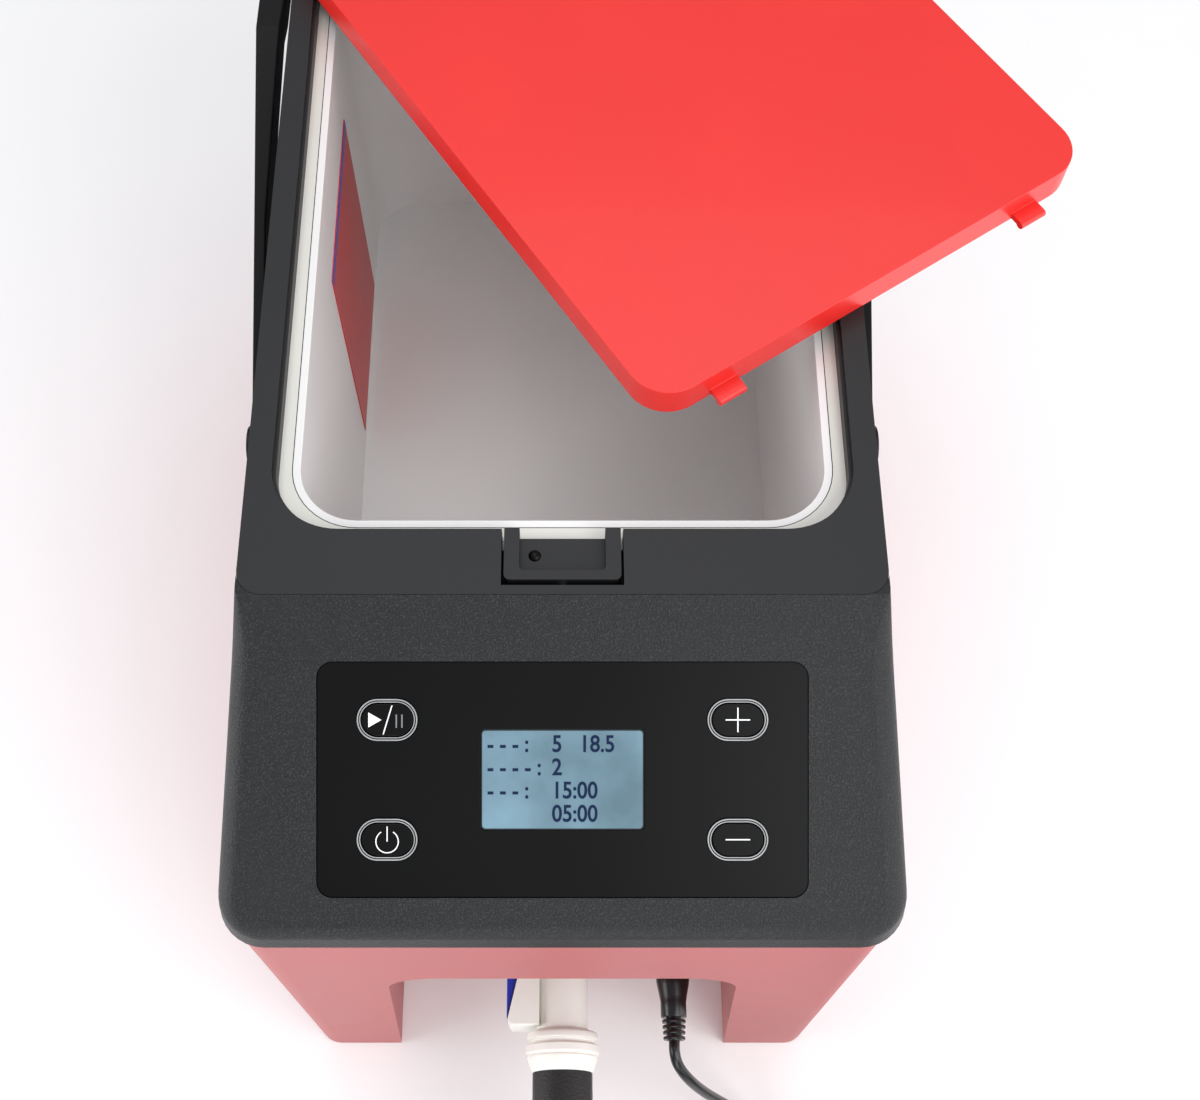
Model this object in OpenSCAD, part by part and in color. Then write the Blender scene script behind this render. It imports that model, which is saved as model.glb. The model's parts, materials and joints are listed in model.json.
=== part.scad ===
// Hot and cold therapy machine: a water tub and pumps in a two-part case, a lift-off lid,
// a swing handle, a sloping control panel, a hose connector and a mains adapter.
// Millimetres. Origin on the floor under the middle of the case, front towards -Y, Z up.

/* [Case] */
// Width of the upper shell along its lower edge
shell_w = 224.6; // [220:0.2:232]
// Length of the upper shell along its lower edge
shell_l = 402; // [396:1:420]
// Corner radius of the upper shell along its lower edge
shell_r = 16; // [12:1:20]
// Lean of the upper shell's sides, in mm per mm of height
draft = 0.1355; // [0.05:0.01:0.16]
// Height of the seam between the two shells
seam_z = 223; // [222:1:232]
// Height of the rim of the case
rim_z = 280; // [276:1:290]
// Wall of the upper shell
shell_wall = 2.6; // [2:0.1:3.2]
// How far the upper shell overhangs the lower one
overhang = 3; // [1.5:0.5:3.5]
// Corner radius of the lower shell
base_r = 10; // [8:1:14]
// Wall of the lower shell
base_wall = 3; // [2:0.5:3.5]
// Thickness of the bottom cover
cover_t = 3.5; // [3:0.5:5]

/* [Control slope] */
// Distance of the crease in front of the middle of the case
crease_y = 101.2; // [98:1:104]
// Tilt of the control slope
slope_deg = 25.5; // [24:0.5:26]
// Length of the control panel across the case
panel_w = 156.4; // [150:1:170]
// Length of the control panel down the slope
panel_h = 75; // [72:1:80]
// Thickness of the control panel
panel_t = 1.2; // [1:0.1:1.5]
// Depth of the recess that holds the panel
recess_d = 1.6; // [1.4:0.1:1.8]
// Distance of the panel's middle below the crease
panel_s = 59.1; // [57:1:60]
// Width of the display window
screen_w = 52; // [44:1:56]
// Height of the display window
screen_h = 32; // [26:1:34]
// Length of a button's ring
ring_w = 19.4; // [18:0.2:21]
// Height of a button's ring
ring_h = 13.4; // [12:0.2:15]
// Width of the metal of a button's ring
ring_t = 1.2; // [0.8:0.1:1.5]
// Distance of the buttons from the panel's ends
button_in = 22.4; // [20:0.2:26]
// Distance between the upper and lower buttons
button_gap = 38.1; // [34:1:42]
// Travel of a button
button_travel = 0.8; // [0.4:0.1:1]

/* [Rim and tub] */
// Height of the top frame's outer edge
frame_h = 5.5; // [4:0.5:7]
// Width of the opening in the top frame
mouth_w = 190; // [184:1:191]
// Front edge of the opening, in front of the middle of the case
mouth_front = 77.4; // [74:0.5:79]
// Rear edge of the opening, behind the middle of the case
mouth_rear = 185; // [184:0.5:186]
// Corner radius of the opening
mouth_r = 22; // [18:1:26]
// Width of the step around the opening
step_w = 1.2; // [0.6:0.2:2]
// Depth of the step around the opening
step_d = 2.5; // [1.5:0.5:3]
// Width inside the tub
tub_w = 176; // [170:1:178]
// Corner radius inside the tub
tub_r = 20; // [16:1:24]
// Wall of the tub
tub_wall = 2.5; // [2:0.1:3]
// Height of the tub's floor
tub_floor = 120; // [118:1:130]
// Thickness of the foam around the tub
foam_t = 10; // [6:1:11]

/* [Lid] */
// Width of the lid
lid_w = 188; // [180:1:188]
// Length of the lid
lid_l = 257; // [250:1:260]
// Height of the lid
lid_h = 12.5; // [11:0.5:16]
// Corner radius of the lid
lid_r = 15; // [12:1:20]
// Wall of the lid
lid_wall = 2.5; // [2:0.1:3]
// Distance of the hinge tabs from the lid's middle line
tab_x = 66; // [50:1:72]
// Width of a hinge tab
tab_w = 11; // [8:1:14]
// How far a hinge tab reaches out
tab_out = 6.3; // [5:0.1:7]

/* [Handle] */
// Height of the handle's pivot
pivot_z = 209; // [204:1:209]
// Distance of the handle's pivot in front of the middle of the case
pivot_y = 8; // [4:1:12]
// Radius of the pivot bolts
pivot_r = 4; // [3:0.1:5]
// Radial clearance of the arms on the pivot bolts
pivot_fit = 0.05; // [0.03:0.01:0.1]
// Thickness of a handle arm beside its pivot
arm_t = 4.5; // [3.5:0.1:5.5]
// Height of a handle arm
arm_h = 12; // [10:1:13]
// Clearance between an arm and the case
arm_gap = 1.2; // [0.8:0.1:1.5]
// Radius of the grip
grip_r = 10; // [9:0.5:10]
// Length of the grip
grip_l = 150; // [120:1:180]

/* [Latch] */
// Width of the latch's pocket
pocket_w = 39.4; // [34:1:44]
// Side clearance of the latch in its pocket
latch_gap = 0.8; // [0.4:0.1:1]
// Travel of the latch
latch_travel = 1.8; // [1:0.1:1.9]

/* [Hose and plug] */
// Height of the hose connector and the power plug
port_z = 80; // [76:1:86]
// Radius of the connector's tube
neck_r = 10.3; // [9:0.1:10.5]
// Radius of the hose
hose_r = 12; // [11:0.5:12]
// Sideways place of the power plug
plug_x = 45; // [40:1:50]
// Radius of the power lead
lead_r = 2.2; // [1.8:0.1:2.3]
// Travel of the connector's release lever
lever_travel = 2; // [1:0.5:2]

/* [Hidden] */
$fn = 48;
hull_fn = 32;
eps = 0.05;
fit = 0.15;
loose = 0.3;

// Case
shell_hx = shell_w / 2;
shell_hy = shell_l / 2;
base_hx = shell_hx - overhang;
base_hy = shell_hy - overhang;
frame_z = rim_z - frame_h;
deck_t = 2.5;
deck_top = rim_z - 11.5;
deck_z = deck_top - deck_t;
tongue_t = 2;
tongue_z = seam_z - 5;
ledge_t = 3;
column_r = 6.5;
column_x = base_hx - base_wall - column_r;
column_y = base_hy - base_wall - column_r;
column_top = seam_z - 13;
web_t = 15;
boss_r = 5;
screw_r = 1.5;
pilot_r = 1.6;
head_r = 3.2;
head_t = 2.4;
access_r = 3.7;
cover_boss_r = 6;
cover_boss_x = base_hx - base_wall - 5;
cover_boss_y = [-60, 120];
cover_boss_h = 17;
foot_r = 8;
foot_t = 2.2;
foot_x = base_hx - 22;
foot_y = base_hy - 34;

// Arch at the front, open at the bottom
arch_top = 153.5;
arch_r = 20;
arch_hx = 65;
arch_foot_hx = 72.5;
arch_back = 140;
socket_hx = 19.8;
socket_hz = 13.8;
jack_r = 5.5;

// Control slope: points below the crease are [x, -distance], heights are above the slope
ring_hole = ring_w - 2 * ring_t;
ring_hole_h = ring_h - 2 * ring_t;
cap_gap = 0.3;
floor_n = -recess_d;
under_n = -shell_wall;
flange_t = 1;
stem_tip = under_n - flange_t;
board_n = under_n - 4.4;
board_t = 1.6;
post_x = panel_w / 2 - 8.2;
post_s = [-31, 31];
button_x = panel_w / 2 - button_in;
button_places = [[-button_x, button_gap / 2], [-button_x, -button_gap / 2],
    [button_x, button_gap / 2], [button_x, -button_gap / 2]];

// Rim and tub
flange_z = rim_z - 8;
flange_h = 2.5;
flange_hx = mouth_w / 2 + 2;
flange_front = mouth_front + 4.6;
flange_rear = mouth_rear + 2;
gasket_t = flange_z - flange_h - deck_top;
tub_front = mouth_front - 6.4;
tub_rear = mouth_rear - 8;
tub_l = tub_front + tub_rear;
tub_y = (tub_rear - tub_front) / 2;
tub_out_w = tub_w + 2 * tub_wall;
tub_out_l = tub_l + 2 * tub_wall;
tub_under = tub_floor - tub_wall;
foam_z = tub_under - loose - foam_t;
foam_top = deck_z - 4;
outlet = [-50, -40];
inlet = [20, -20];
probe = [-20, -50];
label_l = 78;
label_h = 114;
nozzle_r = 4;
nozzle_h = 17;
nozzle_bore = 2.8;

// Lid, lying turned on the rim
lid_at = [38.4, 118.9];
lid_turn = 33.5;
liner_z = 1.5;
liner_t = 2;

// Handle
arm_x = shell_hx + arm_gap;
bail_hx = arm_x + arm_t;
taper_y = [70, 150];
taper_in = 5.3;
bail_r = 7;
bend_at = [140, rim_z - 9];
bar_at = [shell_hy + 20, rim_z - 13];
hub_r = 11;
washer_t = 1;
washer_x = arm_x - loose - washer_t;
bolt_head_t = 1.6;
nut_t = 4;

// Latch
pocket_front = mouth_front + 20.6;
latch_hx = pocket_w / 2 - latch_gap;
latch_front = pocket_front - 2;
latch_top = rim_z - 0.2;
spring_r = 1.6;
spring_z = rim_z - 6;
spring_len = 8;

// Pumps under the tub
pump_at = outlet;
motor_r = 18;
motor_top = 48;
volute_r = 24;
volute_top = 72;
shaft_r = 2;
shaft_fit = 0.08;
air_at = [50, -40];
air_motor_r = 15;
air_motor_top = 40;
case_r = 22;
case_top = 62;
air_head_top = 76;
valve_top = 96;
plunger_r = 4;
cup_h = 9;
cup_wall = 3;
air_port_z = 70;
supply_port_z = 60;
supply_x = pump_at[0] - 18;
hose_out = 5.2;
hose_in = 4.3;
barb_r = 4;
air_out = 4.2;
air_in = 3.3;
air_barb_r = 3;
barb_x = 12;
barb_back = 113;

// Hose connector, along -Y from the socket
socket_front = arch_back + 6;
head_front = socket_front + 22;
neck_front = 205;
lug_hz = neck_r - 0.7;
collar_front = 221.5;
jack_front = arch_back + 20;

// Routes of the hose and the power lead
hose_z = 12.2;
hose_route = [[0, -221.5, 80], [0, -236, 80], [0, -250, 80], [4, -278, 78], [14, -304, 71],
    [30, -325, 60], [51, -340, 47], [67, -360, 38], [80, -380, 28], [90, -400, 20],
    [98, -415, 14.5], [102, -424, 12.2], [102, -430, 12.2]];
hose_coil_at = [0, -454];
hose_coil_in = 102;
hose_coil_out = 148;
hose_turns = 1.5;
lead_z = 2.3;
lead_route = [[45, -209, 80], [45, -213.5, 80], [46.5, -218, 77], [51, -222, 68], [58, -225, 53],
    [66, -227, 37], [74, -229, 23], [83, -232, 12], [94, -236, 5], [107, -238, 2.3],
    [124, -240, 2.3], [145, -240, 2.3], [150, -240, 2.3]];
lead_coil_at = [155, -275];
lead_coil_in = 18;
lead_coil_out = 35;
lead_layer = 5;
lead_turns = 3.375;
climb_turns = 0.5;
climb_dip = 1.6;
tail_route = [[190, -280, 7.3], [190, -286, 7.4], [188, -298, 8], [181, -310, 9],
    [174, -318, 9.5], [172, -325, 10], [172, -330, 10]];
adapter_at = [172, -330];
adapter_w = 42;
adapter_l = 58;
adapter_h = 28;
pin_r = 2;
pin_l = 19;
pin_gap = 19;

// ---- Shapes used more than once ----

// Rounded rectangle with its middle at the origin
module rounded(w, l, r) {
    square([w - 2 * r, l], center = true);
    square([w, l - 2 * r], center = true);
    for (x = [-1, 1], y = [-1, 1])
        translate([x * (w / 2 - r), y * (l / 2 - r)]) circle(r = r);
}

// Rounded box between two corners
module rounded_box(x0, x1, y0, y1, r, z0, z1) {
    translate([(x0 + x1) / 2, (y0 + y1) / 2, z0])
        linear_extrude(z1 - z0) rounded(x1 - x0, y1 - y0, r);
}

// Leaning outer form of the upper case, drawn in by inset, from z0 to z1.
// front is where its front corners' centres lie.
function lean_r(z, inset) = shell_r - inset - draft * (z - seam_z);
module leaning(z0, z1, inset, front) {
    hull()
        for (x = [-1, 1], y = [-front, shell_hy - shell_r])
            translate([x * (shell_hx - shell_r), y, z0])
                cylinder(h = z1 - z0, r1 = lean_r(z0, inset), r2 = lean_r(z1, inset),
                    $fn = hull_fn);
}
shell_front = shell_hy - shell_r;
frame_front = crease_y - lean_r(rim_z, 0);

// Places its children on the slope: origin at the crease, x across, -y down the slope
module on_slope() {
    translate([0, -crease_y, rim_z]) rotate([slope_deg, 0, 0]) children();
}

// Places its children at the middle of the panel
module on_panel() {
    on_slope() translate([0, -panel_s, 0]) children();
}

// Everything above the slope, raised by lift
module above_slope(lift) {
    on_slope() translate([-shell_w, -shell_l, lift]) cube([2 * shell_w, shell_l + 60, 120]);
}

// Oval prism, long way across
module oval(w, h, z0, z1) {
    translate([0, 0, z0]) linear_extrude(z1 - z0) {
        square([w - h, h], center = true);
        for (x = [-1, 1]) translate([x * (w - h) / 2, 0]) circle(d = h);
    }
}

// Cylinder along -Y, from y0 back to y1, both counted in front of the middle
module rod_y(x, z, r, y0, y1) {
    translate([x, -y0, z]) rotate([90, 0, 0]) cylinder(h = y1 - y0, r = r);
}

// Cylinder along X on both sides of the case
module rods_x(y, z, r, x0, x1) {
    for (s = [0, 1]) mirror([s, 0, 0])
        translate([x0, y, z]) rotate([0, 90, 0]) cylinder(h = x1 - x0, r = r);
}

// Tubes along a route, in rings square to it
function unit(v) = v / norm(v);
function heading(p, i) = unit(p[min(i + 1, len(p) - 1)] - p[max(i - 1, 0)]);
function square_to(v, t) = unit(v - (v * t) * t);
function ring_sides(p) = [for (i = 0, s = square_to([0.13, 0.1, 1], heading(p, 0)); i < len(p);
    s = square_to(s, heading(p, min(i + 1, len(p) - 1))), i = i + 1) s];
function ring_points(p, r, n) = let (s = ring_sides(p)) [for (i = [0:len(p) - 1])
    let (t = heading(p, i), a = s[i], b = cross(t, a)) for (k = [0:n - 1])
        p[i] + r * (cos(360 * k / n) * a + sin(360 * k / n) * b)];
function wall_faces(rings, n, start, out) = [for (i = [0:rings - 2], k = [0:n - 1], h = [0, 1])
    let (m = (k + 1) % n, a = start + i * n + k, b = start + (i + 1) * n + k,
        c = start + (i + 1) * n + m, d = start + i * n + m)
        h == 0 ? (out ? [a, b, c] : [c, b, a]) : (out ? [a, c, d] : [d, c, a])];

// Solid round cord
module cord(p, r, n) {
    last = (len(p) - 1) * n;
    polyhedron(points = ring_points(p, r, n), faces = concat(
        [for (k = [1:n - 2]) [0, k, k + 1]],
        wall_faces(len(p), n, 0, true),
        [for (k = [1:n - 2]) [last, last + k + 1, last + k]]));
}

// Hollow flexible tube
module tube(p, r_out, r_in, n) {
    rings = len(p);
    inner = rings * n;
    last = (rings - 1) * n;
    polyhedron(points = concat(ring_points(p, r_out, n), ring_points(p, r_in, n)),
        faces = concat(
            wall_faces(rings, n, 0, true),
            wall_faces(rings, n, inner, false),
            [for (k = [0:n - 1], h = [0, 1]) let (m = (k + 1) % n)
                h == 0 ? [k, m, inner + m] : [k, inner + m, inner + k]],
            [for (k = [0:n - 1], h = [0, 1]) let (m = (k + 1) % n)
                h == 0 ? [last + m, last + k, inner + last + k]
                    : [last + m, inner + last + k, inner + last + m]]));
}

// ---- Lower case ----

// Outline of the arch, grown by g
module arch_outline(g) {
    polygon([[-arch_foot_hx - g, -1], [arch_foot_hx + g, -1],
        [arch_hx + g, arch_top - arch_r], [-arch_hx - g, arch_top - arch_r]]);
    translate([-(arch_hx - arch_r), 0])
        square([2 * (arch_hx - arch_r), arch_top + g]);
    for (x = [-1, 1])
        translate([x * (arch_hx - arch_r), arch_top - arch_r]) circle(r = arch_r + g);
}

// Arch space from the front of the case back to y = -back
module arch_space(g, back) {
    translate([0, -back, 0]) rotate([90, 0, 0])
        linear_extrude(base_hy + 5 - back) arch_outline(g);
}

module lower_shell() {
    color("#c4372f") difference() {
        union() {
            difference() {
                rounded_box(-base_hx, base_hx, -base_hy, base_hy, base_r, 0, seam_z);
                rounded_box(-base_hx + base_wall, base_hx - base_wall, -base_hy + base_wall,
                    base_hy - base_wall, base_r - base_wall, -1, seam_z + 1);
            }
            intersection() {
                rounded_box(-base_hx, base_hx, -base_hy, base_hy, base_r, 0, seam_z);
                arch_space(base_wall, arch_back - base_wall);
            }
            for (x = [-1, 1], y = [-1, 1])
                translate([x * column_x, y * column_y, cover_t])
                    cylinder(h = column_top - cover_t, r = column_r + 0.6);
            for (x = [-1, 1], y = cover_boss_y)
                translate([x * cover_boss_x, y, cover_t])
                    cylinder(h = cover_boss_h, r = cover_boss_r);
            for (x = [-1, 1], y = [-185, -147])
                translate([x * 50, y, arch_top])
                    cylinder(h = board_z - arch_top, r = 4);
            rods_x(-pivot_y, pivot_z, 10, base_hx - 1, washer_x);
        }
        arch_space(0, arch_back);
        for (x = [-1, 1], y = [-1, 1]) translate([x * column_x, y * column_y, 0]) {
            cylinder(h = column_top - web_t, r = access_r);
            cylinder(h = column_top + 1, r = pilot_r);
        }
        for (x = [-1, 1], y = cover_boss_y)
            translate([x * cover_boss_x, y, 0]) cylinder(h = 16, r = pilot_r);
        for (x = [-1, 1], y = [-185, -147])
            translate([x * 50, y, board_z - 5]) cylinder(h = 6, r = pilot_r);
        rods_x(-pivot_y, pivot_z, pivot_r + 0.1, base_hx - base_wall - 1, washer_x + 1);
        translate([-socket_hx - fit, -arch_back - 1, port_z - socket_hz - fit])
            cube([2 * (socket_hx + fit), base_wall + 2, 2 * (socket_hz + fit)]);
        rod_y(plug_x, port_z, jack_r + fit, arch_back - base_wall - 1, arch_back + 1);
    }
}
board_z = arch_top + base_wall + 6;

module base_cover() {
    color("#2b2b2d") difference() {
        union() {
            difference() {
                rounded_box(-base_hx + base_wall + loose, base_hx - base_wall - loose,
                    -base_hy + base_wall + loose, base_hy - base_wall - loose,
                    base_r - base_wall - loose, 0, cover_t);
                arch_space(base_wall + loose, arch_back - base_wall - loose);
            }
            translate([pump_at[0], pump_at[1], 0])
                cylinder(h = cover_t + cup_h, r = motor_r + loose + cup_wall);
            translate([air_at[0], air_at[1], 0])
                cylinder(h = cover_t + cup_h, r = air_motor_r + loose + cup_wall);
        }
        translate([pump_at[0], pump_at[1], cover_t]) cylinder(h = 40, r = motor_r + loose);
        translate([air_at[0], air_at[1], cover_t]) cylinder(h = 40, r = air_motor_r + loose);
        for (x = [-1, 1], y = [-1, 1]) {
            translate([x * column_x, y * column_y, -1])
                cylinder(h = cover_t + 2, r = access_r);
            translate([x * foot_x, y * foot_y, -1])
                cylinder(h = foot_t + 1, r = foot_r + fit);
        }
        for (x = [-1, 1], y = cover_boss_y) translate([x * cover_boss_x, y, -1]) {
            cylinder(h = 1.8 + 1, r = head_r + loose);
            cylinder(h = cover_t + 2, r = pilot_r + 0.2);
        }
    }
}

module rubber_feet() {
    color("#1c1c1e") for (x = [-1, 1], y = [-1, 1])
        translate([x * foot_x, y * foot_y, 0]) cylinder(h = foot_t, r = foot_r);
}

// Screw pointing up, with the underside of its head at the origin
module screw(length) {
    difference() {
        translate([0, 0, -1.6]) cylinder(h = 1.6, r = head_r);
        translate([0, 0, -1.7]) {
            translate([-2.4, -0.4, 0]) cube([4.8, 0.8, 0.9]);
            translate([-0.4, -2.4, 0]) cube([0.8, 4.8, 0.9]);
        }
    }
    translate([0, 0, -eps]) cylinder(h = length, r = screw_r);
}

module cover_screws() {
    color("silver") for (x = [-1, 1], y = cover_boss_y)
        translate([x * cover_boss_x, y, 1.8]) screw(11);
}

module body_screws() {
    color("silver") for (x = [-1, 1], y = [-1, 1])
        translate([x * column_x, y * column_y, column_top - web_t]) screw(25);
}

module board_screws() {
    color("silver") for (x = [-1, 1], y = [-185, -147])
        translate([x * 50, y, board_z + board_t]) mirror([0, 0, 1]) screw(5);
}

// ---- Upper case ----

module upper_shell() {
    color("#2f3032") difference() {
        union() {
            difference() {
                leaning(seam_z, rim_z, 0, shell_front);
                above_slope(0);
                difference() {
                    leaning(seam_z - 1, deck_z, shell_wall, shell_front);
                    above_slope(-shell_wall);
                }
                leaning(frame_z, rim_z + 1, -fit, frame_front);
                leaning(deck_top, rim_z, shell_wall, frame_front);
            }
            difference() {
                rounded_box(-base_hx + base_wall + 0.2, base_hx - base_wall - 0.2,
                    -base_hy + base_wall + 0.2, base_hy - base_wall - 0.2,
                    base_r - base_wall, tongue_z, seam_z + ledge_t - 1);
                rounded_box(-base_hx + base_wall + tongue_t, base_hx - base_wall - tongue_t,
                    -base_hy + base_wall + tongue_t, base_hy - base_wall - tongue_t,
                    base_r - base_wall - tongue_t, tongue_z - 1, seam_z + ledge_t);
            }
            difference() {
                intersection() {
                    leaning(seam_z, seam_z + ledge_t, 1, shell_front);
                    translate([-shell_w, -shell_l, 0]) cube([2 * shell_w, 2 * shell_l, 300]);
                }
                above_slope(-1);
                rounded_box(-base_hx + base_wall + tongue_t, base_hx - base_wall - tongue_t,
                    -base_hy + base_wall + tongue_t, base_hy - base_wall - tongue_t,
                    base_r - base_wall - tongue_t, seam_z - 1, seam_z + ledge_t + 1);
            }
            for (x = [-1, 1]) {
                translate([x * column_x, column_y, column_top])
                    cylinder(h = deck_z + 1 - column_top, r = boss_r);
                translate([x * column_x, -column_y, column_top])
                    cylinder(h = seam_z + 2 - column_top, r = boss_r);
            }
            on_panel() for (x = [-1, 1], y = post_s)
                translate([x * post_x, y, board_n]) cylinder(h = -board_n - 2, r = 3);
        }
        rounded_box(-tub_out_w / 2 - 1, tub_out_w / 2 + 1, tub_y - tub_out_l / 2 - 1,
            tub_y + tub_out_l / 2 + 1, tub_r + tub_wall + 1, deck_z - 1, deck_top + 1);
        for (x = [-1, 1], y = [-1, 1]) translate([x * column_x, y * column_y, column_top - 1])
            cylinder(h = 12.5, r = pilot_r);
        on_panel() {
            rounded_box(-panel_w / 2 - fit, panel_w / 2 + fit, -panel_h / 2 - fit,
                panel_h / 2 + fit, 5 + fit, floor_n, 2);
            rounded_box(-screen_w / 2 + 1, screen_w / 2 - 1, -screen_h / 2 + 1,
                screen_h / 2 - 1, 1, under_n - 4, 1);
            for (p = button_places) translate([p[0], p[1], 0])
                oval(ring_hole, ring_hole_h, under_n - 4, 1);
        }
    }
}

module mouth(grow, z0, z1) {
    rounded_box(-mouth_w / 2 - grow, mouth_w / 2 + grow, -mouth_front - grow / 2,
        mouth_rear + grow / 2, mouth_r + grow, z0, z1);
}

module top_frame() {
    color("#434345") difference() {
        union() {
            leaning(frame_z, rim_z, 0, frame_front);
            leaning(deck_top, frame_z + eps, shell_wall + fit, frame_front);
        }
        mouth(0, deck_top - 1, rim_z + 1);
        mouth(step_w, rim_z - step_d, rim_z + 1);
        rounded_box(-flange_hx - loose, flange_hx + loose, -flange_front - loose,
            flange_rear + loose, tub_r + 10, deck_top - 1, flange_z);
        translate([-pocket_w / 2, -pocket_front, deck_top - 1])
            cube([pocket_w, pocket_front - mouth_front + 4, 20]);
        for (x = [-1, 1])
            translate([x * tab_x - tab_w / 2 - 1, mouth_rear - 8, flange_z + 1])
                cube([tab_w + 2, 8 + tab_out + 1, 9]);
    }
}

// ---- Control panel ----

module control_panel() {
    color("#141416") on_panel() difference() {
        rounded_box(-panel_w / 2, panel_w / 2, -panel_h / 2, panel_h / 2, 5,
            floor_n, floor_n + panel_t);
        rounded_box(-screen_w / 2 - fit, screen_w / 2 + fit, -screen_h / 2 - fit,
            screen_h / 2 + fit, 1.5, floor_n - 1, 1);
        for (p = button_places) translate([p[0], p[1], 0])
            oval(ring_w + 2 * fit, ring_h + 2 * fit, floor_n - 1, 1);
    }
}

module button_rings() {
    color("#d8d8da") on_panel() for (p = button_places) translate([p[0], p[1], 0])
        difference() {
            oval(ring_w, ring_h, floor_n, floor_n + panel_t + 0.5);
            oval(ring_hole, ring_hole_h, floor_n - 1, 1);
        }
}

module lcd_window() {
    color("#9fc4d6") on_panel() rounded_box(-screen_w / 2, screen_w / 2, -screen_h / 2,
        screen_h / 2, 1.5, floor_n, floor_n + panel_t);
}

module lcd_module() {
    color("#c9d6dc") on_panel() rounded_box(-screen_w / 2 - 3, screen_w / 2 + 3,
        -screen_h / 2 - 3, screen_h / 2 + 3, 1, board_n, under_n);
}

// Button cap with a flange behind the shell and a stem towards its switch
module button(i) {
    on_panel() translate([button_places[i][0], button_places[i][1], 0]) {
        oval(ring_hole - 2 * cap_gap, ring_hole_h - 2 * cap_gap, under_n - eps,
            floor_n + panel_t + 0.4);
        oval(ring_w, ring_h, under_n - flange_t, under_n);
        translate([0, 0, stem_tip]) cylinder(h = flange_t, r = 2.5);
    }
}

module button_play() {
    color("#1a1a1c") button(0);
}

module button_power() {
    color("#1a1a1c") button(1);
}

module button_plus() {
    color("#1a1a1c") button(2);
}

module button_minus() {
    color("#1a1a1c") button(3);
}

module keypad_board() {
    color("#2f6b3f") on_panel() {
        translate([-post_x - 4, -34, board_n - board_t]) cube([2 * post_x + 8, 68, board_t]);
        for (p = button_places) {
            translate([p[0] - 3, p[1] - 3, board_n - eps])
                cube([6, 6, stem_tip - button_travel - 0.5 - board_n]);
            translate([p[0], p[1], board_n]) cylinder(h = stem_tip - button_travel - 0.1
                - board_n, r = 1.7);
        }
    }
}

module main_board() {
    color("#2f6b3f") {
        difference() {
            translate([-56, -190, board_z]) cube([112, 65, board_t]);
            for (x = [-1, 1], y = [-185, -147])
                translate([x * 50, y, board_z - 1]) cylinder(h = board_t + 2, r = pilot_r);
        }
        translate([-36, -178, board_z + board_t - eps]) cube([26, 24, 9]);
        translate([8, -180, board_z + board_t - eps]) cube([18, 18, 3]);
        for (x = [-38:14:32]) translate([x, -138, board_z + board_t - eps])
            cube([9, 7, 6]);
        for (x = [34, 44]) translate([x, -168, board_z + board_t - eps])
            cylinder(h = 12, r = 3.6);
    }
}

// ---- Tub ----

// Space of the tub grown by g, between two heights
module tub_form(g, z0, z1) {
    rounded_box(-tub_w / 2 - g, tub_w / 2 + g, tub_y - tub_l / 2 - g, tub_y + tub_l / 2 + g,
        tub_r + g, z0, z1);
}

module tub() {
    color("#f2f0ee") difference() {
        union() {
            tub_form(tub_wall, tub_under, flange_z - eps);
            rounded_box(-flange_hx, flange_hx, -flange_front, flange_rear, tub_r + 9.5,
                flange_z - flange_h, flange_z);
            for (p = [outlet, inlet]) translate([p[0], p[1], tub_under - nozzle_h])
                cylinder(h = nozzle_h + 1, r = nozzle_r);
        }
        tub_form(0, tub_floor, flange_z + 1);
        for (p = [outlet, inlet]) translate([p[0], p[1], tub_under - nozzle_h - 1])
            cylinder(h = nozzle_h + 10, r = nozzle_bore);
        translate([probe[0], probe[1], tub_under - 1]) cylinder(h = 10, r = 2.5 + fit);
    }
}

module tub_insulation() {
    color("#e6e2d6") difference() {
        tub_form(tub_wall + loose + foam_t, foam_z, foam_top);
        tub_form(tub_wall + loose, tub_under - loose, foam_top + 1);
        for (p = [outlet, inlet]) translate([p[0], p[1], foam_z - 1])
            cylinder(h = foam_t + 5, r = hose_out + 1.5);
        translate([probe[0], probe[1], foam_z - 1]) cylinder(h = foam_t + 5, r = 6);
    }
}

module tub_gasket() {
    color("#3a3a3a") difference() {
        tub_form(8, deck_top, deck_top + gasket_t);
        tub_form(4.5, deck_top - 1, deck_top + 5);
    }
}

module fill_label() {
    color("#c8323a") translate([-tub_w / 2, tub_y - 6, tub_floor + 6])
        cube([0.4, label_l, label_h]);
}

module tub_strainer() {
    color("#d9d9d6") translate([outlet[0], outlet[1], tub_floor]) difference() {
        cylinder(h = 5, r = 15);
        translate([0, 0, -1]) cylinder(h = 4.5, r = 12.5);
        for (a = [0:45:315]) rotate([0, 0, a]) translate([8, 0, 2]) cylinder(h = 5, r = 1.6);
    }
}

module temperature_probe() {
    color("#b9bcc0") translate([probe[0], probe[1], 0]) {
        translate([0, 0, tub_floor]) cylinder(h = 2, r = 5);
        translate([0, 0, tub_under - 13]) cylinder(h = tub_wall + 21, r = 2.5);
        translate([0, 0, tub_under - 5]) cylinder(h = 5, r = 4.6, $fn = 6);
    }
}

// ---- Latch ----

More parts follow.
